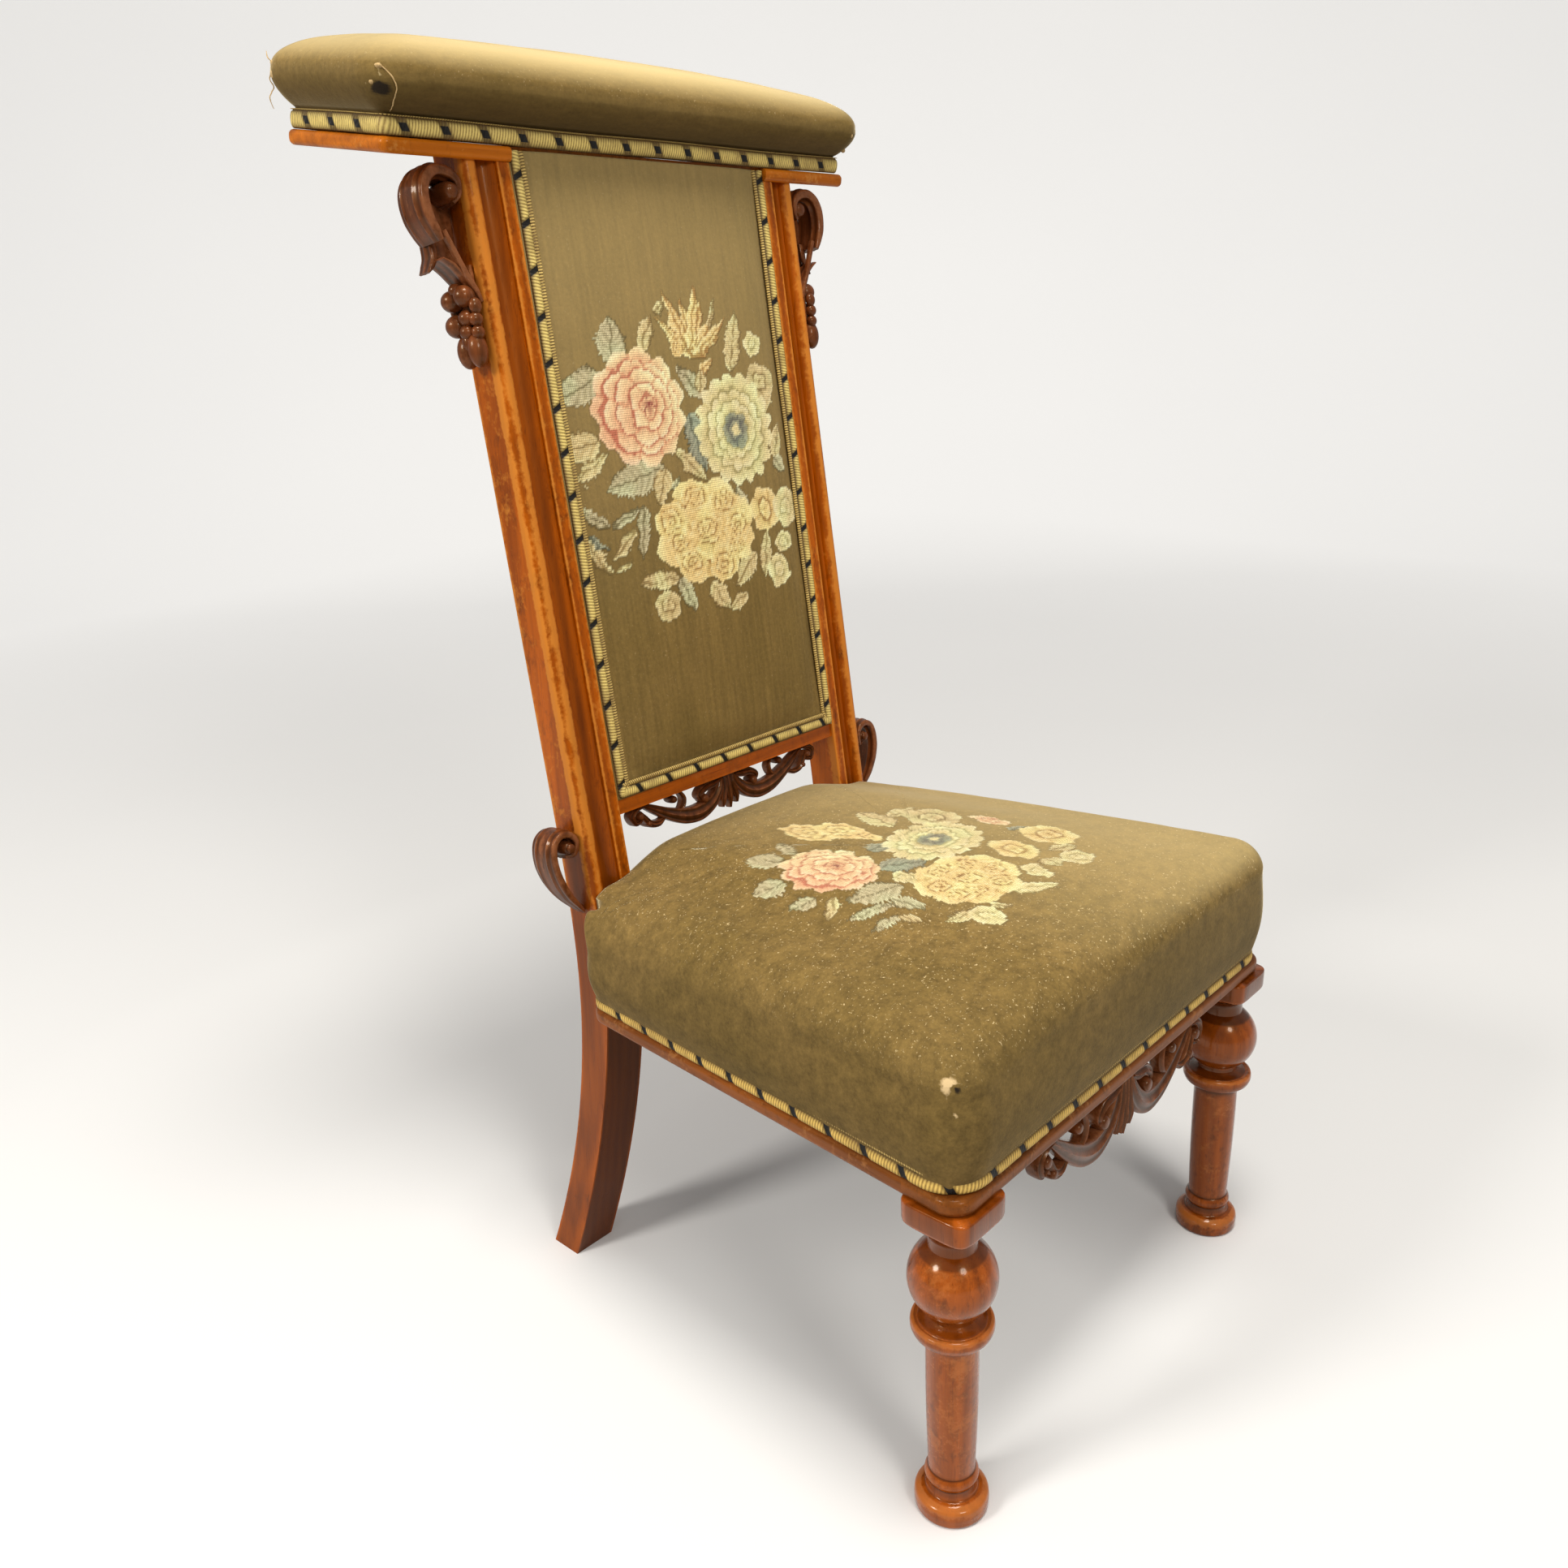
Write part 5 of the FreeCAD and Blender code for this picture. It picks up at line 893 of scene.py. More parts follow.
# Turned legs: in millimetres, points of radius, height and squareness, arcs from point to point with a
# bulge and a count, and one ball of radius, height, neck and count
LEG_LINE = [
    (0, 0, 0), (18, 0, 0), (24, 0, 0), (24.6, 0.3, 25.7, 3.0, 0.3, 5), (25.7, 4.5, 25.7, 10.5, 0.3, 5),
    (25.7, 11.2, 20.5, 16.0, 1.4, 8), (19.6, 16.1, 0), (18.4, 16.5, 0), (17.8, 17.2, 17.2, 23.6, -0.2, 6),
    (17.6, 24.0, 16.8, 33.0, 1.6, 10), (16.4, 33.4, 0), (16.2, 34.2, 18.0, 138.0, 0.6, 40), (18.2, 140.0, 0),
    (18.6, 144.0, 0), (18.8, 145.0, 27.4, 151.2, 2.2, 12), (28.0, 152.4, 27.9, 157.2, 0.3, 6),
    (27.6, 158.0, 25.6, 159.2, 0.3, 5), (25.0, 158.8, 23.6, 158.4, -0.2, 4), (23.0, 159.0, 17.8, 161.8, -0.6, 8),
    (16.8, 162.6, 0), (16.5, 164.5, 0), (30.2, 191.5, 16.5, 34), (16.4, 217.6, 0), (16.4, 220.0, 0),
    (16.4, 221.0, 19.6, 231.0, -1.0, 12), (20.6, 232.0, 0), (21.6, 232.6, 0), (22.0, 233.0, 22.6, 235.8, 0.6, 6),
    (23.6, 236.2, 0.55), (24.8, 236.4, 1), (25.8, 236.7, 1), (26.4, 237.6, 1), (26.7, 239.2, 1), (26.8, 246.0, 1),
    (26.8, 251.6, 1), (26.6, 252.6, 1), (26.0, 253.2, 1), (0, 253.4, 1),
]
LEG_GROOVES = ((0.0166, 0.0007), (0.0237, 0.0007), (0.0335, 0.0008), (0.1446, 0.0009), (0.2314, 0.0012))


def leg_rows():
    """Radius, height and squareness of the leg's rows."""
    rows = []
    for entry in LEG_LINE:
        if len(entry) == 3:
            rows.append([entry])
        elif len(entry) == 4:
            radius, middle, neck, count = entry
            turn = steps(-acos(neck / radius), acos(neck / radius), count)
            rows.append(xyz(radius * np.cos(turn), middle + radius * np.sin(turn), 0))
        else:
            r0, z0, r1, z1, bulge, count = entry
            t = steps(0, 1, count)
            rows.append(xyz(r0 + (r1 - r0) * t + bulge * np.sin(pi * t), z0 + (z1 - z0) * t, 0))
    return join(rows) / [1000, 1000, 1]


def leg_mesh(name, side):
    """Turned leg: radius given along its height, and square where the block is. The square's outline
    is r = h / (|cos|^p + |sin|^p)^(1/p) with p at 5.5."""
    r, z, block = leg_rows().T[..., None]
    phi = steps(0, 2 * pi, 96, endpoint=False)
    square = 1 / (np.abs(np.cos(phi)) ** 5.5 + np.abs(np.sin(phi)) ** 5.5) ** (1 / 5.5)
    uneven = 1 + 0.004 * waves(xyz(np.cos(phi) * 40, np.sin(phi) * 40, z * 1000), 60.0, 5)
    radius = r * (1 + (square - 1) * block) * uneven
    grid = xyz(side * 0.1974 + radius * np.cos(phi), CREST_Y - 0.4385 + radius * np.sin(phi), z)
    turned = surface("turned", grid, close_cols=True, poles=(0, -1), crease=34)
    wear_and_shade = bell(z, 0.0135, 0.004) + bell(z, 0.1578, 0.0022) + 0.8 * bell(z, 0.2374, 0.0012) + 0.25 * (z < 0.140)
    # Painted shade, and dust, in the grooves and the foot's hollow; painted shade in the collar's dish, on the
    # ball's top under the block, on the block under the seat, and all over the far right leg.
    wear_and_shade = wear_and_shade - 1.3 * sum(bell(z, *groove) for groove in LEG_GROOVES)
    wear_and_shade = np.where((z > 0.1575) & (z < 0.1660) & (r < 0.0235), -0.55, wear_and_shade)
    wear_and_shade = np.where((z > 0.2110) & (z < 0.2310), -0.7, wear_and_shade)
    wear_and_shade = wear_and_shade - 0.7 * bell(z, 0.0215, 0.0042, 4) - 0.56 * (block > 0.5) - 0.22 * (side > 0)
    wear_and_shade = np.clip(wear_and_shade + 0.5 * (square > 1.19) * (block > 0.5), -1.2, 1.5)
    set_mask(turned, "wear_and_shade", join([wear_and_shade[0, :1], wear_and_shade[1:-1].ravel(), [0]]))
    x = LEG[0].x + 0.0049 + np.array([0, 1, 1, 0]) * 0.0345
    y = LEG[0].y + 0.0190 + np.array([0, 0, 1, 1]) * 0.0344
    post = tube_mesh("post", xyz(side * x, y, np.array([[SEAT_Z + 0.0002], [LEG[1].z]])), crease=30)
    return joined(name, [turned, post])


# Soft pieces

CLOTH = dict(quality=6, mass=0.3, tension_stiffness=30, compression_stiffness=30, bending_stiffness=2,
             use_pressure=True, uniform_pressure_force=4.0, vertex_group_mass="held")


def settled(grid, ring=True, step=4, cap=0.0035):
    """Lets a cover settle as blown up cloth on every fourth point of its grid. The coarse points'
    shifts, at most the cap, are spread over the fine grid by straight lines between neighbours."""
    scene = bpy.context.scene
    rows, cols = (np.unique(np.append(np.arange(0, count, step), count - 1)) for count in grid.shape[:2])
    if ring:
        cols = np.arange(0, grid.shape[1], step)
    coarse = grid[rows][:, cols]
    mesh = surface("cloth_run", coarse, close_cols=ring)
    piece = bpy.data.objects.new("cloth_run", mesh)
    scene.collection.objects.link(piece)
    pins = np.zeros(coarse.shape[:2], bool)
    if ring:
        pins[:4] = pins[-1:] = True
    else:
        pins[[0, -1]] = pins[:, [0, -1]] = True
    piece.vertex_groups.new(name="held").add(np.flatnonzero(pins).tolist(), 1.0, "REPLACE")
    cloth = piece.modifiers.new("Cloth", "CLOTH")
    for key, value in CLOTH.items():
        setattr(cloth.settings, key, value)
    cloth.settings.effector_weights.gravity = 0
    cloth.point_cache.frame_start, cloth.point_cache.frame_end = 1, 20
    for moment in range(1, 21):
        scene.frame_set(moment)
    ended = piece.evaluated_get(bpy.context.evaluated_depsgraph_get()).to_mesh()
    shift = mesh_points(ended).reshape(coarse.shape) - coarse
    scene.frame_set(1)
    bpy.data.objects.remove(piece)
    bpy.data.meshes.remove(mesh)
    shift = shift * np.minimum(1, cap / np.maximum(np.linalg.norm(shift, axis=-1, keepdims=True), 1e-9))
    if not np.isfinite(shift).all():
        raise RuntimeError("The cloth run gave no finite shape")
    if ring:
        cols, shift = np.append(cols, grid.shape[1]), join([shift, shift[:, :1]], 1)
    for axis, marks in enumerate((rows, cols)):
        fine = np.arange(grid.shape[axis])
        low = np.clip(np.searchsorted(marks, fine, side="right") - 1, 0, len(marks) - 2)
        part = ((fine - marks[low]) / (marks[low + 1] - marks[low])).reshape([-1] + [1] * (2 - axis))
        shift = shift.take(low, axis) * (1 - part) + shift.take(low + 1, axis) * part
    return grid + shift


def both_halves(*right):
    """Corners of a symmetric outline from its right half's, from the left front one onwards."""
    right = np.array(right)
    return np.roll(join([right, right[::-1] * [-1, 1]]), 1, 0)


def eased(share):
    """Share from 0 to 1 that starts and ends slowly."""
    return share * share * (3 - 2 * share)


def mark_worn(mesh, table, place):
    """Stores the torn places of a pad: the sum of tone e^-(d / reach)^2 over a table of places in
    millimetres, reaches and tones. It is pale where that is above zero and dark below."""
    worn = 0.0
    for spot, reach, tone in table:
        gap = mesh_points(mesh) - place(*(np.array(spot) * MM))
        worn = worn + tone * bell(np.linalg.norm(gap, axis=1), 0, reach * MM)
    # The places below zero are painted shade that stands for holes in the tears.
    set_mask(mesh, "worn", worn)


# Torn places, tufts with their half widths and threads with a radius, as x, s and n on the crest
TEARS = [((-244.4, -5.0, 39.0), 3.6, -1.2), ((-248.0, 0.3, 41.7), 2.6, 0.8), ((-245.0, -7.6, 48.5), 3.6, 0.8),
         ((-250.3, 120.2, 47.0), 5.5, 0.8), ((228.0, -10.0, 36.0), 3.6, 0.8)]
TUFTS = [((-246.6, -1.6, 41.6), (2.4, 2.4, 1.8)), ((-244.2, -6.2, 51.0), (2.6, 2.4, 1.8)),
         ((-249.4, 118.6, 44.1), (2.4, 3.2, 3.4)), ((-249.0, 118.8, 51.1), (2.0, 2.8, 2.0)),
         ((227.0, -13.6, 42.5), (2.6, 2.2, 2.2)), ((230.4, -3.4, 30.4), (2.0, 2.2, 1.8))]
THREADS = [([(-243.6, -7.3, 51.4), (-239.0, -12.6, 46.0), (-235.8, -12.9, 38.8), (-234.6, -6.0, 30.0),
             (-232.1, 2.0, 25.2)], 0.42),
           ([(-249.2, 119.0, 48.0), (-251.0, 122.0, 41.0), (-248.6, 121.5, 36.0), (-251.2, 123.4, 29.0),
             (-248.8, 123.0, 22.0)], 0.42),
           ([(-249.5, 117.0, 50.0), (-253.0, 118.5, 54.0), (-252.4, 120.5, 58.0)], 0.40)]

# Torn places of the seat's left front corner, as x, y from the posts' front and z
SEAT_TEARS = [((-217.0, -450.6, 346.1), 7.8, 1.0), ((-215.0, -453.0, 343.2), 3.2, -3.0),
              ((-216.3, -453.4, 327.8), 2.8, 0.8)]


def thread_mesh(path, radius):
    """Loose thread: a thin round tube along a hand-set path."""
    line = curve_through(path, 40)
    along = unit(np.gradient(line, axis=0))
    side = unit(np.cross(along, np.array([0.3, 0.5, 0.81])))
    turn = steps(0, 2 * pi, 8, endpoint=False)[:, None]
    ring = side[:, None] * np.cos(turn) + np.cross(along, side)[:, None] * np.sin(turn)
    taper = radius * (1 - 0.5 * steps(0, 1, 40) ** 4)
    return tube_mesh("thread", line[:, None] + taper[:, None, None] * ring, crease=None)


def elbow_frays():
    """Tufts of stuffing and loose threads at the torn corners of the elbow pad."""
    parts = [ball(*tuft, on_crest, rows=10, ring=14) for tuft in TUFTS]
    parts += [thread_mesh(on_crest(*(np.array(path) * MM).T), radius * MM) for path, radius in THREADS]
    mesh = joined("elbow_frays", parts)
    points = mesh_points(mesh)
    rough = xyz(*(waves(points * 1000, 5.0, seed) for seed in (21, 22, 23))) * 0.00045
    mesh.vertices.foreach_set("co", (points + rough).astype(np.float32).ravel())
    mesh.update()
    return mesh


def elbow_mesh():
    """Plush elbow pad: an outline swells out over its foot by s sin(pi t / 2), then closes over the top
    to a middle line, where its height is h (1 - q^2.4)^(1/2.4) and q goes from 1 at the rim to 0. It
    has slow dents, and a torn hollow at its front left corner."""
    crown = bpy.context.scene.chair_sizes.elbow_crown
    half, front, rear, foot, shoulder = 0.2300, 0.0038, 0.1207, 0.0247, 0.0455
    swell_front, swell_rear, swell_end, line_end, line_y = 0.0200, 0.0135, 0.0155, 0.078, 0.066
    outline, normal = rounded_outline(both_halves((half, front), (half, rear)), [0.006] * 4, 0.0026)
    swell = np.where(normal[:, 1] < 0, swell_front, swell_rear) * normal[:, 1] ** 2
    swell = swell + swell_end * normal[:, 0] ** 2
    rim = outline + normal * swell[:, None]
    reach = half + swell_end - line_end
    spine = xyz(np.clip(rim[:, 0], -reach, reach), line_y)
    t, q = steps(0, 1, 16)[:, None], 1 - steps(0, 1, 46)[1:, None] ** 1.25
    wall = outline + normal * (swell * np.sin(pi / 2 * t) ** 0.85)[..., None]
    top = spine + (rim - spine) * q[..., None]
    rise = (crown - 0.0029 * (top[..., 0] / 0.165) ** 2 - shoulder) * (1 - q ** 2.4) ** (1 / 2.4)
    x, s = np.moveaxis(join([wall, top]), -1, 0)
    n = join([foot + (shoulder - foot) * t + 0 * swell, shoulder + rise])
    flat = xyz(x, s, n) * 1000
    dents = 0.0009 * waves(flat, 150.0, 3) + 0.00035 * waves(flat, 38.0, 9)
    places = settled(xyz(x - 0.0065 * ramp(-x, 0, 0.2) ** 3, s, n + dents * ramp(n, 0.03, 0.05)))
    x, s, n = np.moveaxis(places, -1, 0)
    tear = bell(x, -0.232, 0.010) * bell(s, -0.008, 0.016) * bell(n, 0.049, 0.009)
    x, s = x + tear * 0.006, s + tear * 0.004
    none = 0 * x[:1]
    base_s, base_n = none + 0.062, none + 0.0111
    grid = on_crest(join([none, x[:1], x]), join([base_s, s[:1], s]), join([base_n, base_n, n]))
    mesh = close_spine(surface("elbow_pad_plush", grid, close_cols=True, poles=(0,)))
    mark_worn(mesh, TEARS, on_crest)
    points = mesh_points(mesh)
    rise = (points[:, 2] - CREST_Z) * cos(SLOPE) - (points[:, 1] - CREST_Y + CREST_SETBACK) * sin(SLOPE)
    # Painted light on the nap attribute: painted shade low on the pad, a painted highlight along its top.
    set_mask(mesh, "nap", np.interp(rise, [0.026, 0.038, 0.050, 0.062, 0.074], [-0.62, -0.42, -0.10, 0.28, 0.74]))
    return mesh


def panel_mesh():
    """Stuffed panel: inside a flat margin it rises by a quarter sine over 26 mm, and over that by a crown
    c (1 - |x|^2.4)(1 - v^4), with x and v from -1 to 1."""
    half, low, high, margin, edge = POST_IN - 0.0004, -0.4827, 0.0090, 0.0105, 0.026
    x, v = np.meshgrid(steps(-half, half, 160), steps(low, high, 290), indexing="ij")
    soft = np.sin(ramp(half - margin - np.abs(x), 0, edge) * pi / 2)
    soft = soft * np.sin(ramp(np.minimum(v - low, high - v + 0.020) - margin, 0, edge) * pi / 2)
    tall = np.abs(v - (low + high) / 2) / (high - low) * 2
    crown = (1 - (np.abs(x) / (half - margin)) ** 2.4) * (1 - tall ** 4)
    dents = 0.0004 * waves(xyz(x, v) * 1000, 120.0, 2)
    w = 0.0004 - 0.0050 * np.clip(crown, 0, 1) - (0.0035 + dents) * soft
    front = settled(on_back(x, w, v), ring=False)
    return closed_sheet("back_panel_plush", front, on_back(x, 0.0070, v), xyz(x, v))


def seat_half(y):
    """Half width of the tapered seat at a Y of the chair."""
    return 0.223 - (y - (CREST_Y - 0.461)) * TAPER


def seat_top(x, y):
    """Height of the seat's top: a soft edge, e sqrt(1 - (1 - d / r)^2) at a distance d from the
    outline, and over it a dome of one less the squares of x and y over the half widths. With it come
    the height of the shoulder where the edge starts, and the edge's reach r."""
    size = bpy.context.scene.chair_sizes
    half, front, rear, back = seat_half(y), y - SEAT_FRONT, SEAT_REAR - y, ramp(y, SEAT_FRONT, SEAT_REAR)
    side = half + 0.002 - np.abs(x)

    def corner_gap(radius, other):
        a, b = np.maximum(radius - side, 0), np.maximum(radius - other, 0)
        return np.where((a > 0) & (b > 0), radius - np.hypot(a, b), np.minimum(side, other))
    gap = np.maximum(np.minimum(corner_gap(0.030, front), corner_gap(0.014, rear)), 0)
    outer = eased(ramp(np.abs(x) / half, 0.42, 0.78))
    reach = 0.026 + (0.010 + 0.022 * outer) * back ** 2
    edge = size.seat_edge_height + 0.0060 - (0.0060 + 0.0110 * outer) * back
    shoulder = edge - (0.028 + 0.014 * back ** 2)
    soft = np.sqrt(np.maximum(1 - (1 - np.clip(gap / reach, 0, 1)) ** 2, 0))
    middle, deep = (SEAT_FRONT + SEAT_REAR) / 2, (SEAT_REAR - SEAT_FRONT) / 2
    dome = 1 - np.clip(np.abs(x) / half, 0, 1) ** 2
    dome = dome * (1 - np.clip(np.abs(y - middle) / deep, 0, 1) ** np.where(y > middle, 4, 2))
    near = 0.006 * bell(x, -0.20, 0.05) * bell(y, SEAT_FRONT, 0.05)
    return shoulder + (edge - shoulder) * soft + size.seat_dome * dome - near, shoulder - near, reach


def seat_mesh():
    """Seat pad: walls swell from the foot, curl over a soft edge and rise to the dome. The outline
    has a notch at each post, where the wall stands straight and leans with the post's front."""
    foot, stub, notch = MOULD_Z + 0.0003, POST_IN - 0.0003, CREST_Y - 0.0783
    corners = both_halves((seat_half(SEAT_FRONT + 0.002) + 0.002, SEAT_FRONT), (seat_half(notch) + 0.002, notch),
                          (stub, notch), (stub, SEAT_REAR))
    radii = [0.030, 0.030, 0.017, 0.0005, 0.004, 0.004, 0.0005, 0.017]
    outline, normal = rounded_outline(corners, radii, 0.00262)
    wide = np.abs(outline[:, 0])
    at_post = (normal[:, 1] > 0.5) & (wide > stub - 0.001) & (wide < POST_OUT + 0.001)
    at_post |= (np.abs(wide - stub) < 0.0008) & (outline[:, 1] > notch - 0.002) & (np.abs(normal[:, 0]) > 0.7)
    soft = 1.0 - at_post
    smooth = np.convolve(join([soft[-5:], soft, soft[:5]]), np.hanning(11) / np.hanning(11).sum(), mode="valid")
    soft = np.where(at_post, np.clip(smooth * 2 - 1, 0, 1), smooth)
    top_here, shoulder, reach = seat_top(*outline.T)
    wall, curl = 22, 16
    k = np.arange(wall + curl + 1)[:, None]
    t, share = np.minimum(k / wall, 1), k / (wall + curl)
    inset = 0.0055 * (1 - np.sin(pi / 2 * t) ** 0.9) - 0.0036 * np.sin(pi * t) ** 1.3
    inset = inset + np.minimum(reach, 0.024) * (1 - np.cos(np.maximum(k - wall, 0) / curl * pi / 2))
    walls = outline - normal * (inset * soft)[..., None]
    z = np.where(k > wall, seat_top(*np.moveaxis(walls, -1, 0))[0], foot + (shoulder - foot) * t)
    weight = soft + (1 - soft) * eased(ramp(share, 0.75, 1))
    z = z * weight + (foot + (top_here - foot) * share) * (1 - weight)
    centre = np.array([0.0, (SEAT_FRONT + SEAT_REAR) / 2 - 0.010])
    top = walls[-1] + (centre - walls[-1]) * steps(0, 1, 116)[1:, None, None]
    flat, height = join([walls, top]), join([z, seat_top(*np.moveaxis(top, -1, 0))[0]])
    lean = CREST_Y - (CREST_Z - height) * tan(RAKE) - 0.0005 - notch
    x, y = np.moveaxis(flat, -1, 0)
    near_post = np.minimum(ramp(y, notch - 0.035, notch), ramp(y, SEAT_REAR, notch))
    places = xyz(x, y + lean * near_post, height)
    dents = 0.0007 * waves(places * 1000, 170.0, 4) + 0.00025 * waves(places * 1000, 42.0, 8)
    places[..., 2] += dents * np.clip((height - foot) / 0.03, 0, 1)
    places = settled(places)
    grid = join([np.broadcast_to([*centre, foot], places[:1].shape), places])
    uv = join([grid, grid[:, :1]], 1)[..., :2]
    mesh = surface("seat_pad_plush", grid, close_cols=True, poles=(0, -1), uv=uv)
    points = mesh_points(mesh)
    x, y, z = points.T
    colour, cover = bouquet(points[:, :2] * 1000 + [0, 4.4], SEAT_LEAVES, SEAT_BLOOMS, SEAT_POSY,
                            (-73, -58, 34, 41), (20, -89, 45, 35))
    paint(mesh, colour, cover * (z > 0.345))
    mark_worn(mesh, SEAT_TEARS, lambda x, y, z: xyz(x, CREST_Y + y, z))
    # Painted light on the nap attribute: painted shade lower on the walls and on the near left top edge, a
    # painted highlight over the far top.
    nap_and_painted_light = np.interp(z, [0.27, 0.32, 0.345, 0.36, 0.38], [-0.26, -0.20, -0.15, -0.11, -0.06])
    set_mask(mesh, "nap", nap_and_painted_light + 0.42 * ramp(x, -0.14, 0.16) * ramp(z, 0.345, 0.365)
             - 0.16 * ramp(x, -0.16, 0.04) * ramp(z, 0.352, 0.332))
    return mesh


# Braids

def braid(name, path, out, up, width, thick, closed=False, share=CORD_SHARE):
    """Gimp along a path: a plump cord, pinched at each black bar by e^-(d / 3 mm)^4, and beside it
    a thin cord with ribs. A cord's face is a half ellipse, and its ribs are a sine along the path."""
    rows = [join([row, row[:1]]) if closed else row for row in np.broadcast_arrays(path, out, up)]
    length = join([[0], np.cumsum(np.linalg.norm(np.diff(rows[0], axis=0), axis=1))])
    even = steps(0, length[-1], int(length[-1] / 0.0008), endpoint=not closed)
    line, out, up = (xyz(*(np.interp(even, length, column) for column in row.T))[:, None] for row in rows)
    out, up, s = unit(out), unit(up), even[:, None]
    t = join([steps(0, share, 13), steps(share + 0.03, 1, 8)])
    main = t < share + 0.01
    dome = np.sqrt(np.clip(1 - np.where(main, t / share * 2 - 1, (t - 1) / (0.97 - share) * 2 + 1) ** 2, 0, 1))
    pitch = bpy.context.scene.chair_sizes.bar_pitch
    pinch = bell(((s / pitch + BAR_SLANT * (t - share / 2)) % 1 - 0.5) * pitch, 0, 0.0030, 4)
    tall = np.where(main, 1 - 0.62 * pinch, 0.66)
    rib = np.sin(s * (2 * pi / 0.0021) + t * 4.0) * np.where(main, 0.00006, 0.00020)
    rise = (thick * (0.22 + 0.78 * dome * tall) + rib * dome)[..., None]
    across = (t * width + 0.0003 * np.sin(s * 2 * pi / 0.21))[..., None]
    back = line + up * (across * 0.98 + 0.0001)
    grid = join([line + out * rise + up * across, back[:, ::-1]], 1)
    uv = xyz(np.append(even, length[-1])[:, None] if closed else s, join([t, t[::-1], t[:1]]))
    if closed:
        return surface(name, grid, close_rows=True, close_cols=True, uv=uv)
    return tube_mesh(name, grid, uv=uv, crease=None)


def crest_gimp_mesh():
    """Braid round the foot of the elbow pad."""
    outline, normal = rounded_outline([(-0.2366, 0.0033), (0.2306, 0.0033), (0.2306, 0.1212), (-0.2366, 0.1212)],
                                      [0.004] * 4, 0.001)
    zero = on_crest(0.0, 0.0, 0.0)
    return braid("crest_gimp_braid", on_crest(*outline.T, 0.0108), on_crest(*normal.T, 0.0) - zero,
                 on_crest(0.0, 0.0, 1.0) - zero, 0.0130, 0.0028, True, CREST_SHARE)


def panel_gimp_mesh():
    """Braid down one side of the panel, along its foot and up the other side."""
    half, low, high, corner = POST_IN - 0.0008, -0.4822, 0.0085, 0.004
    turn = steps(pi, 1.5 * pi, 9)
    bend = xyz(corner - half + corner * np.cos(turn), low + corner + corner * np.sin(turn))
    left = join([[[-half, high], [-half, -0.2]], bend])
    flat = even_path(join([left, left[::-1] * [-1, 1]]), 1300)
    along = unit(np.gradient(flat, axis=0))
    zero = on_back(0.0, 0.0, 0.0)
    return braid("panel_gimp_braid", on_back(flat[:, 0], 0.0004, flat[:, 1]), on_back(0.0, -1.0, 0.0) - zero,
                 on_back(-along[:, 1], 0.0, along[:, 0]) - zero, 0.0124, 0.0028)


def seat_gimp_mesh():
    """Braid round the front and the sides of the seat, curling in to the posts."""
    inset, end_x = 0.0028, 0.178
    front_y, end_y = SEAT_FRONT + 0.002 + inset, CREST_Y - 0.0800
    outline, normal = rounded_outline(both_halves(*((seat_half(y) - inset, y) for y in (front_y, end_y))),
                                      [0.028, 0.028, 0.016, 0.016], 0.001)
    right, left = (int(np.argmin(np.abs(outline[:, 0] - x) + np.abs(outline[:, 1] - end_y) * 3))
                   for x in (end_x, -end_x))
    keep = np.arange(left, left + (right - left) % len(outline)) % len(outline)
    return braid("seat_gimp_braid", xyz(*outline[keep].T, MOULD_Z + 0.0003), xyz(*normal[keep].T, 0.0),
                 np.array([0.0, 0.0, 1.0]), 0.0140, 0.0031)


# Lining cloths

def back_cloth_mesh():
    """Lining over the back's rear: flat between its edges but for slow ripples of half a millimetre."""
    half, low, high = POST_IN - 0.0005, -0.4945, 0.0085
    x, v = np.meshgrid(steps(-half, half, 60), steps(low, high, 110), indexing="ij")
    loose = ramp(half - np.abs(x), 0, 0.03) * ramp(np.minimum(v - low, high - v), 0, 0.03)
    w = 0.0300 + 0.0006 * (waves(xyz(x, v * 0.3) * 1000, 60.0, 12) + 1) * loose
    return closed_sheet("back_lining", on_back(x, w, v), on_back(x, w + 0.0008, v), xyz(x, v))


def dust_cloth_mesh():
    """Lining under the seat, which sags by a millimetre between its tacks, its flat size and its area.
    Its edge runs between the leg blocks, then along the rails, then between the rear posts."""
    foot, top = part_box("seat_dust_cloth")
    low, high = foot.y + 0.0002, top.y - 0.0002
    y = np.unique(join([steps(low, high, 90), [-0.2422, -0.2420, 0.0924, 0.0926]]))
    rails = top.x - 0.0004 - (y + 0.2423) * TAPER
    half = np.where(y < -0.2421, LEG[0].x + 0.0044, np.where(y > 0.0925, POST_IN - 0.0006, rails))
    area = float(np.sum((half[1:] + half[:-1]) * np.diff(y)))
    share, y = steps(-1, 1, 90), y[:, None]
    x = share * half[:, None]
    loose = (1 - share ** 4) * ramp(np.minimum(y - low, high - y), 0, 0.04)
    z = top.z - (0.0009 + 0.0003 * waves(xyz(x, y) * 1000, 70.0, 14)) * loose
    cloth = xyz(x, y, z - 0.0001)
    mesh = closed_sheet("seat_lining", cloth, cloth - [0, 0, 0.0007], xyz(x, y))
    return mesh, (2 * float(half.max()), high - low), area


# Settings

def metres(label, words, value, **more):
    """Setting that is a length."""
    return bpy.props.FloatProperty(name=label, description=words, default=value, unit="LENGTH", **more)


def tint(label, words, r, g, b):
    """Setting that is a colour."""
    return bpy.props.FloatVectorProperty(name=label, description=words, subtype="COLOR", min=0, max=1,
                                         default=pale(r, g, b)[:3])


class ChairSizes(bpy.types.PropertyGroup):
    """Sizes of the soft pieces that a user would change."""
    elbow_crown: metres("Elbow pad crown", "Height of the elbow pad over the crest board's underside", 0.0795)
    seat_edge_height: metres("Seat edge", "Height of the seat's soft top edge above the floor", 0.3650)
    seat_dome: metres("Seat dome", "How far the middle of the seat stands over its edge", 0.0185)
    bar_pitch: metres("Bar pitch", "Distance between the black bars of the braid", 0.033)


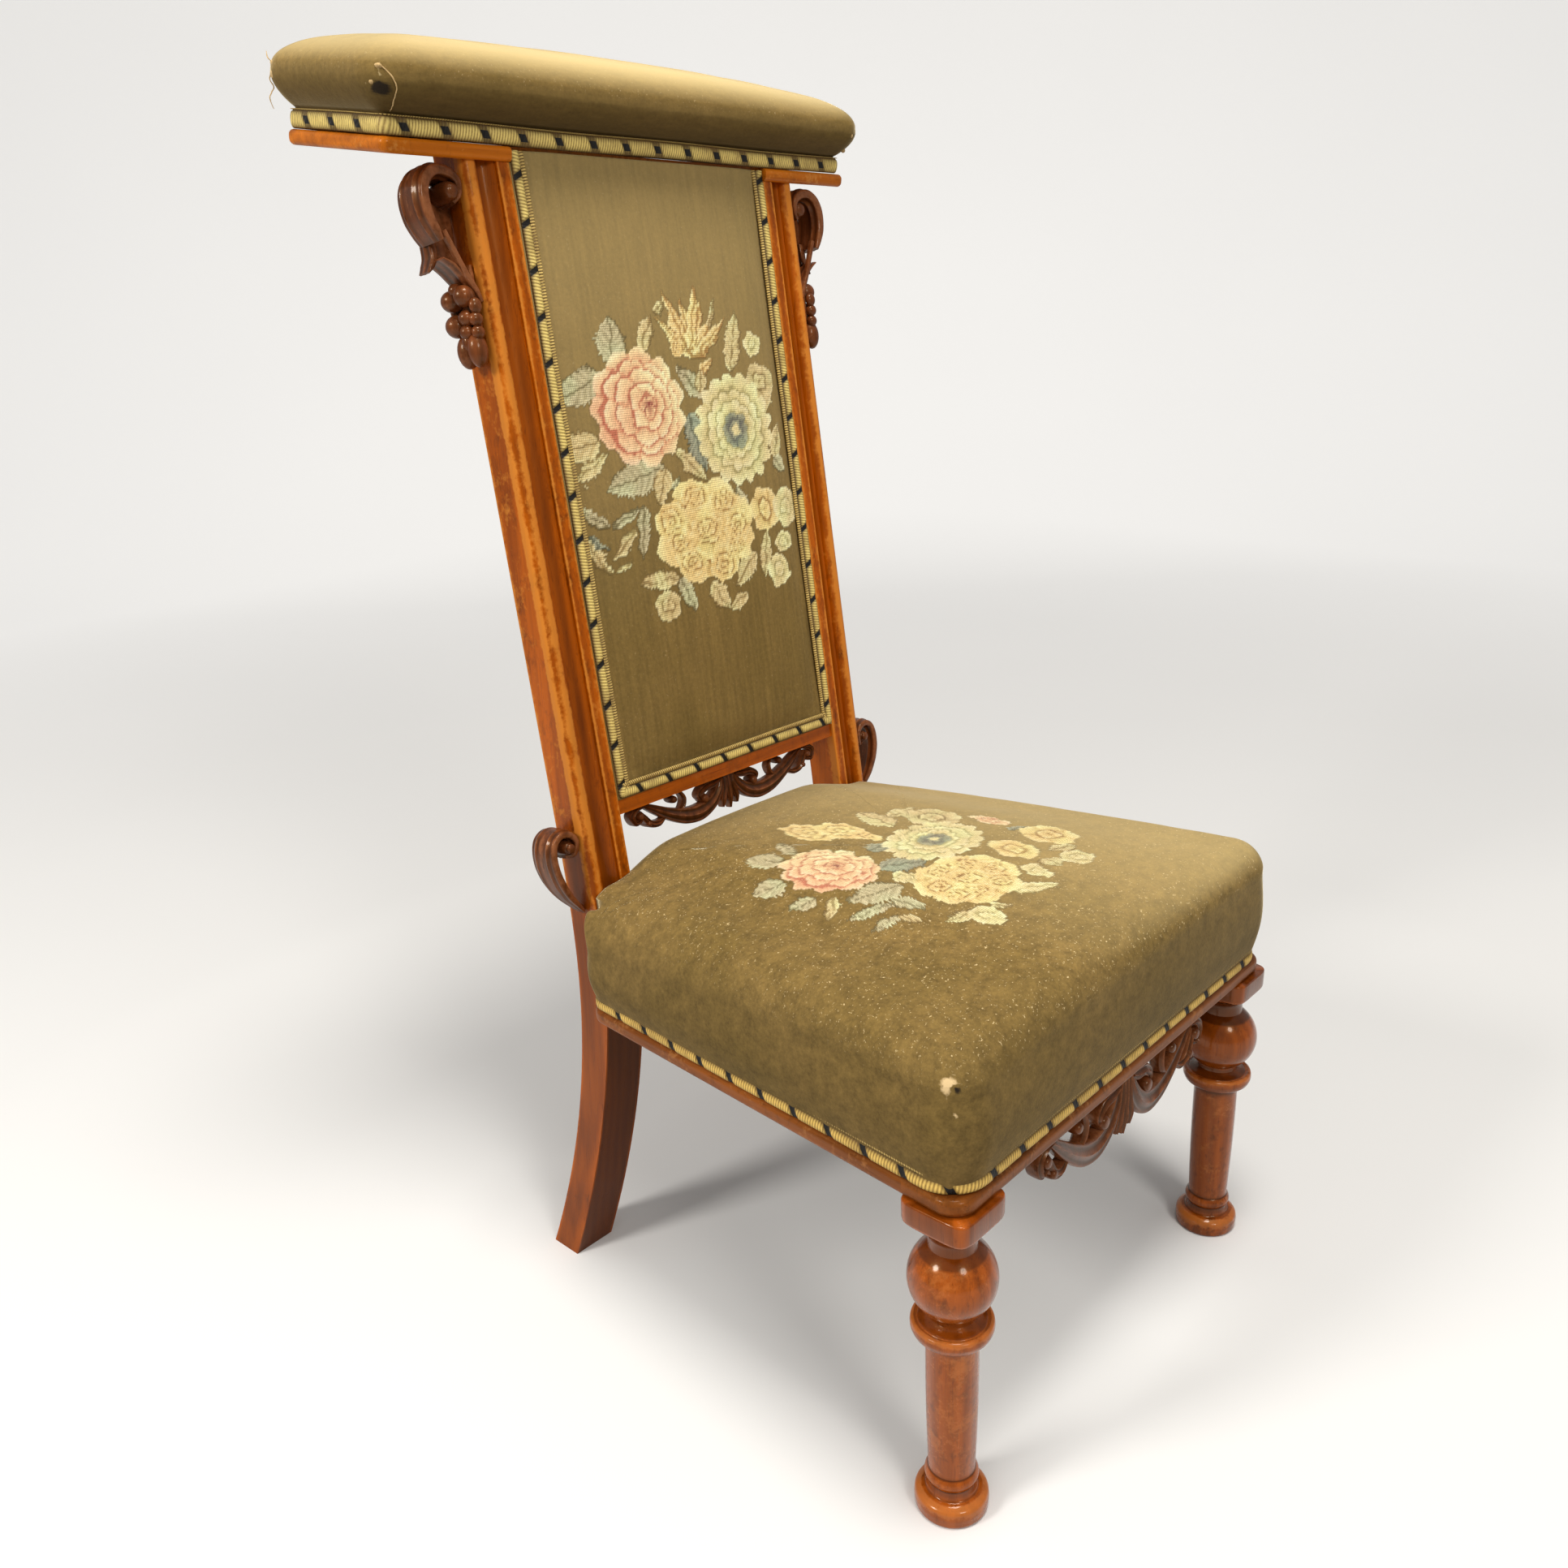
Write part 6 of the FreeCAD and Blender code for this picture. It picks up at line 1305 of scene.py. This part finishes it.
class ChairFinishes(bpy.types.PropertyGroup):
    """Colours and stitch size."""
    plush_warm: tint("Plush, worn side", "Warmer tone of the plush", 136, 110, 61)
    plush_cool: tint("Plush, full side", "Greener tone of the plush", 117, 95, 48)
    gimp_gold: tint("Braid gold", "Light tone of the braid", 255, 228, 136)
    gimp_shade: tint("Braid shade", "Dark tone between the braid's ribs", 122, 88, 34)
    walnut: tint("Walnut", "Light tone of the polished wood", 188, 90, 0)
    walnut_dark: tint("Walnut, dark", "Dark tone of the polished wood", 108, 42, 0)
    stitch_pitch: metres("Stitch pitch", "Width of one cross stitch", 0.0017, precision=4)


# Operators, one for each piece or group of like pieces

PIECES = []


def operator(label):
    """Makes an operator from the function below it, which gives its name and its words."""
    def wrap(make):
        def execute(self, context):
            make(context)
            return {"FINISHED"}
        PIECES.append(type("CHAIR_OT_" + make.__name__, (bpy.types.Operator,), {
            "bl_idname": "chair." + make.__name__, "bl_label": label, "__doc__": make.__doc__,
            "bl_options": {"REGISTER", "UNDO"}, "execute": execute}))
        return make
    return wrap


@operator("Rear posts")
def posts(context):
    """Rear posts with their moulded fronts and swept feet"""
    look = context.scene.chair_finishes
    finish = wood_finish("Post walnut", solid(look.walnut), solid(look.walnut_dark), pale(218, 136, 50),
                         figure=1.25, rubbed=0.75, grime=0.75, coat=0.12, edge=True)
    for side, word in SIDES:
        placed("post_" + word, post_mesh("post_" + word, side), finish, "rear_post_" + word)


@operator("Polished rails")
def rails(context):
    """Polish on the crest board, the lower rail and the seat's moulded lip"""
    look = context.scene.chair_finishes
    board = wood_finish("Crest board walnut", pale(220, 122, 22), pale(136, 62, 6), pale(236, 168, 84),
                        grain="X", rubbed=0.7, grime=0.5, coat=0.12)
    rail = wood_finish("Rail walnut", solid(look.walnut), solid(look.walnut_dark), pale(190, 120, 60),
                       grain="X", rubbed=0.4, grime=0.5)
    worn = dict(rubbed=0.9, grime=0.8, rough=(0.3, 0.6), coat=0.1)
    lip = wood_finish("Lip walnut", pale(140, 76, 26), pale(66, 30, 8), pale(180, 122, 70), grain="X", **worn)
    side_lip = wood_finish("Side lip walnut", pale(146, 78, 24), pale(70, 32, 8), pale(184, 124, 70),
                           grain="Y", **worn)
    for node, finish in (("crest_board", board), ("back_bottom_rail", rail), ("seat_moulding_front", lip),
                         ("seat_moulding_right", side_lip), ("seat_moulding_left", side_lip)):
        dress(NODES[node].data, finish)


@operator("Carvings")
def carvings(context):
    """Carved brackets, seat scrolls and pierced aprons"""
    finish = wood_finish("Carved walnut", pale(116, 60, 28), pale(38, 12, 2), pale(166, 104, 66),
                         rubbed=0.5, grime=0.7, rough=(0.25, 0.42), coat=0.26, edge=True)
    for side, word in SIDES:
        placed("bracket_" + word, bracket_mesh("bracket_" + word, side), finish, "crest_bracket_" + word)
        placed("ear_" + word, ear_mesh("ear_" + word, side), finish, "seat_scroll_" + word)
    low_edge = (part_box("back_apron")[0].z - CREST_Z + 0.022 * sin(RAKE)) / cos(RAKE) + 0.036
    back = apron_mesh("back_apron_carving", lambda x, w, v: on_back(x, w + 0.009, v + low_edge),
                      13.0, 35.0, 117.8)
    placed("back_apron_carving", back, finish, "back_apron")
    y0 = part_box("front_apron")[0].y
    front = apron_mesh("front_apron_carving", lambda x, w, v: xyz(x, y0 + w, SEAT_Z + v), 15.0, 55.0, 122.8)
    placed("front_apron_carving", front, finish, "front_apron")


@operator("Front legs")
def legs(context):
    """Turned front legs"""
    finish = wood_finish("Turned walnut", pale(174, 84, 18), pale(92, 35, 3), pale(206, 122, 56),
                         figure=0.9, rubbed=0.5, grime=0.9, rough=(0.14, 0.32), coat=0.4, edge=True)
    for side, word in SIDES:
        placed("leg_" + word, leg_mesh("leg_" + word, side), finish, "front_leg_" + word)


@operator("Elbow pad")
def elbow(context):
    """Plush elbow pad"""
    finish = plush_finish("Elbow plush", (60, 220, 220), flecks=0.6, grain=0.9, worn=pale(214, 190, 140))
    placed("elbow_pad_plush", elbow_mesh(), finish, "elbow_pad", fill=0.9)
    fray = plush_finish("Frayed stuffing", (300, 300, 300), flecks=0.5,
                        tint=(pale(214, 184, 134), pale(180, 148, 98)))
    piece = placed("elbow_frays", elbow_frays(), fray)


@operator("Back panel")
def panel(context):
    """Stuffed back panel with its bouquet"""
    mesh = panel_mesh()
    x, y, z = mesh_points(mesh).T
    y, z = y - CREST_Y, z - CREST_Z
    up, depth = y * sin(RAKE) + z * cos(RAKE), y * cos(RAKE) - z * sin(RAKE)
    colour, cover = bouquet(xyz(x, up) * 1000, PANEL_LEAVES, PANEL_BLOOMS, PANEL_POSY,
                            (-50, -178, 47, 44), (56, -203, 46, 45))
    paint(mesh, colour, cover * (depth < 0.003))
    # Painted light on the nap attribute: the panel lighter towards its top.
    set_mask(mesh, "nap", np.interp(up, [-0.48, -0.36, -0.10, 0.0], [-0.06, 0.0, 0.16, 0.18]))
    finish = plush_finish("Panel plush", (260, 60, 14), needlework=True, flecks=0.35, stitch_light=0.86)
    placed("back_panel_plush", mesh, finish, "back_panel_pad", fill=0.9)


@operator("Seat pad")
def seat(context):
    """Domed seat with its bouquet and worn corner"""
    finish = plush_finish("Seat plush", (90, 90, 90), needlework=True, flecks=2.4, grain=1.5,
                          worn=pale(226, 196, 146), stitch_light=0.70)
    placed("seat_pad_plush", seat_mesh(), finish, "seat_pad", fill=0.9)


@operator("Braids")
def braids(context):
    """Gold braids round the pads"""
    crest = gimp_finish("Gold gimp, crest", 0.0032, 0.20, CREST_SHARE)
    finish = gimp_finish("Gold gimp", 0.0021, 0.31)
    level = gimp_finish("Gold gimp, seat", 0.0026, 0.33, tint=(1.02, 0.89, 0.72))
    placed("crest_gimp_braid", crest_gimp_mesh(), crest, "crest_gimp")
    placed("panel_gimp_braid", panel_gimp_mesh(), finish, "back_panel_gimp")
    placed("seat_gimp_braid", seat_gimp_mesh(), level, "seat_gimp")


LINING = (pale(46, 44, 42), pale(16, 15, 14), 3600.0)


@operator("Lining cloths")
def linings(context):
    """Black lining cloths behind the back and under the seat"""
    upright = cloth_finish("Black lining, upright", *LINING, upright=True)
    piece = placed("back_lining", back_cloth_mesh(), upright, "outside_back_cloth")
    mesh, flat, area = dust_cloth_mesh()
    piece = placed("seat_lining", mesh, cloth_finish("Black lining", *LINING), "seat_dust_cloth")


@operator("Frame and stuffing")
def hidden(context):
    """Finishes of the frame, the springs and the cloths under the covers"""
    beech = (pale(206, 172, 124), pale(158, 118, 74), pale(214, 184, 140))
    sawn = dict(rough=(0.55, 0.8), coat=0.0, grime=0.4)
    hessian = (pale(190, 166, 118), pale(118, 94, 58), 2100.0)
    webbing = (pale(200, 178, 132), pale(140, 112, 70), 1500.0)
    for finish, names in (
            (wood_finish("Sawn beech", *beech, grain="X", **sawn),
             "back_top_rail seat_rail_front seat_rail_right seat_rail_left seat_rail_back corner_braces"),
            (wood_finish("Sawn beech, upright", *beech, **sawn), "tacking_batten_right tacking_batten_left"),
            (cloth_finish("Hessian", *hessian), "spring_hessian"),
            (cloth_finish("Hessian, upright", *hessian, upright=True), "back_hessian"),
            (cloth_finish("Webbing", *webbing), "seat_webbing"),
            (cloth_finish("Webbing, upright", *webbing, upright=True), "back_webbing"),
            (cloth_finish("Black lining, solid", *LINING), "seat_dust_cloth outside_back_cloth"),
            (steel_finish("Spring wire", pale(170, 130, 104), pale(70, 44, 30), 0.35), "seat_springs"),
            (steel_finish("Screws", pale(150, 150, 150), pale(60, 54, 50), 0.3), "crest_screws brace_screws"),
            (steel_finish("Blued tacks", pale(92, 98, 112), pale(34, 32, 34), 0.3), "dust_cloth_tacks")):
        for node in names.split():
            dress(NODES[node].data, finish)


@operator("Stage")
def stage(context):
    """Pale floor and backdrop, soft lamps and the camera"""
    scene = context.scene
    arc, turn = steps(0, pi / 2, 16), radians(-47)
    run = join([[[-6.0, 0.0]], xyz(3.0 + 2 * np.sin(arc), 2 * (1 - np.cos(arc))), [[5.0, 7.0]]])
    x, (y, z) = steps(-9, 9, 4)[:, None], run.T
    grid = xyz(x * cos(turn) - y * sin(turn), x * sin(turn) + y * cos(turn), z)
    finish, n, place = material("Stage")
    camera_ray = n.add("LightPath")["Is Camera Ray"]
    seen = (camera_ray + (camera_ray["Is Glossy Ray"] + camera_ray["Is Transmission Ray"])).held()
    tone = n.mix(n.noise(place, 1.2), (0.85, 0.845, 0.835, 1), (0.89, 0.885, 0.875, 1))
    far = n.add("VectorMath", {0: place}, "Value", operation="LENGTH")
    n.shade(Base_Color=n.mix(seen, (0.42, 0.41, 0.40, 1), tone), Roughness=0.9, Emission_Color=(1, 0.99, 0.97, 1),
            Emission_Strength=(far * 0.36 - 0.36).held() * 0.42 * camera_ray)
    floor = bpy.data.objects.new("studio_floor", surface("studio_floor", grid))
    dress(floor.data, finish)
    scene.collection.objects.link(floor)

    world = scene.world or bpy.data.worlds.new("Studio")
    scene.world = world
    world.use_nodes = True
    back = world.node_tree.nodes["Background"].inputs
    back["Color"].default_value, back["Strength"].default_value = (1.0, 0.985, 0.96, 1), 0.42

    for name, spot, aim, size, power in (("key_left", (-2.4, 0.6, 2.0), 0.5, 0.7, 40),
                                         ("over_head", (-0.2, -0.5, 2.9), 0.4, 0.8, 42),
                                         ("front_left", (-0.9, -2.4, 2.2), 0.5, 0.8, 24)):
        light = bpy.data.lights.new(name, "AREA")
        light.shape, light.size, light.energy, light.color = "DISK", size, power, (1, 0.97, 0.92)
        holder = bpy.data.objects.new(name, light)
        way = (Vector((0, 0, aim)) - Vector(spot)).to_track_quat("-Z", "Y").to_matrix().to_4x4()
        holder.matrix_world = Matrix.Translation(spot) @ way
        scene.collection.objects.link(holder)

    yaw, pitch, roll = (radians(value) for value in (-46.97, 19.11, -2.33))
    ahead = np.array([-sin(yaw) * cos(pitch), cos(yaw) * cos(pitch), -sin(pitch)])
    right = np.array([cos(yaw), sin(yaw), 0.0])
    up = np.cross(right, ahead)
    axes = xyz(cos(roll) * right + sin(roll) * up, cos(roll) * up - sin(roll) * right, -ahead)
    eye = bpy.data.cameras.new("camera")
    eye.lens, eye.sensor_width, eye.sensor_fit = 30.04, 36.0, "HORIZONTAL"
    eye.clip_start, eye.clip_end = 0.02, 60
    camera = bpy.data.objects.new("camera", eye)
    camera.matrix_world = Matrix.Translation((-0.7762, CREST_Y - 0.8461, 0.7779)) @ Matrix(axes).to_4x4()
    scene.collection.objects.link(camera)
    scene.camera = camera
    scene.view_settings.view_transform = "Standard"


class CHAIR_PT_pieces(bpy.types.Panel):
    """Sizes, colours and pieces of the chair"""
    bl_idname = "CHAIR_PT_pieces"
    bl_label = "Prayer chair"
    bl_space_type = "VIEW_3D"
    bl_region_type = "UI"
    bl_category = "Prayer chair"

    def draw(self, context):
        layout = self.layout
        for settings in (context.scene.chair_sizes, context.scene.chair_finishes):
            for key in settings.__annotations__:
                layout.prop(settings, key)
        for piece in PIECES:
            layout.operator(piece.bl_idname)


CLASSES = [ChairSizes, ChairFinishes, *PIECES, CHAIR_PT_pieces]


def register():
    for item in CLASSES:
        bpy.utils.register_class(item)
    bpy.types.Scene.chair_sizes = bpy.props.PointerProperty(type=ChairSizes)
    bpy.types.Scene.chair_finishes = bpy.props.PointerProperty(type=ChairFinishes)


def unregister():
    del bpy.types.Scene.chair_finishes
    del bpy.types.Scene.chair_sizes
    for item in reversed(CLASSES):
        bpy.utils.unregister_class(item)


def main():
    """Makes every piece in order, then writes the boxes of the solids and of the finished chair."""
    register()
    for piece in PIECES:
        family, name = piece.bl_idname.split(".")
        getattr(getattr(bpy.ops, family), name)()
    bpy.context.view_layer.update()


if __name__ == "__main__":
    main()
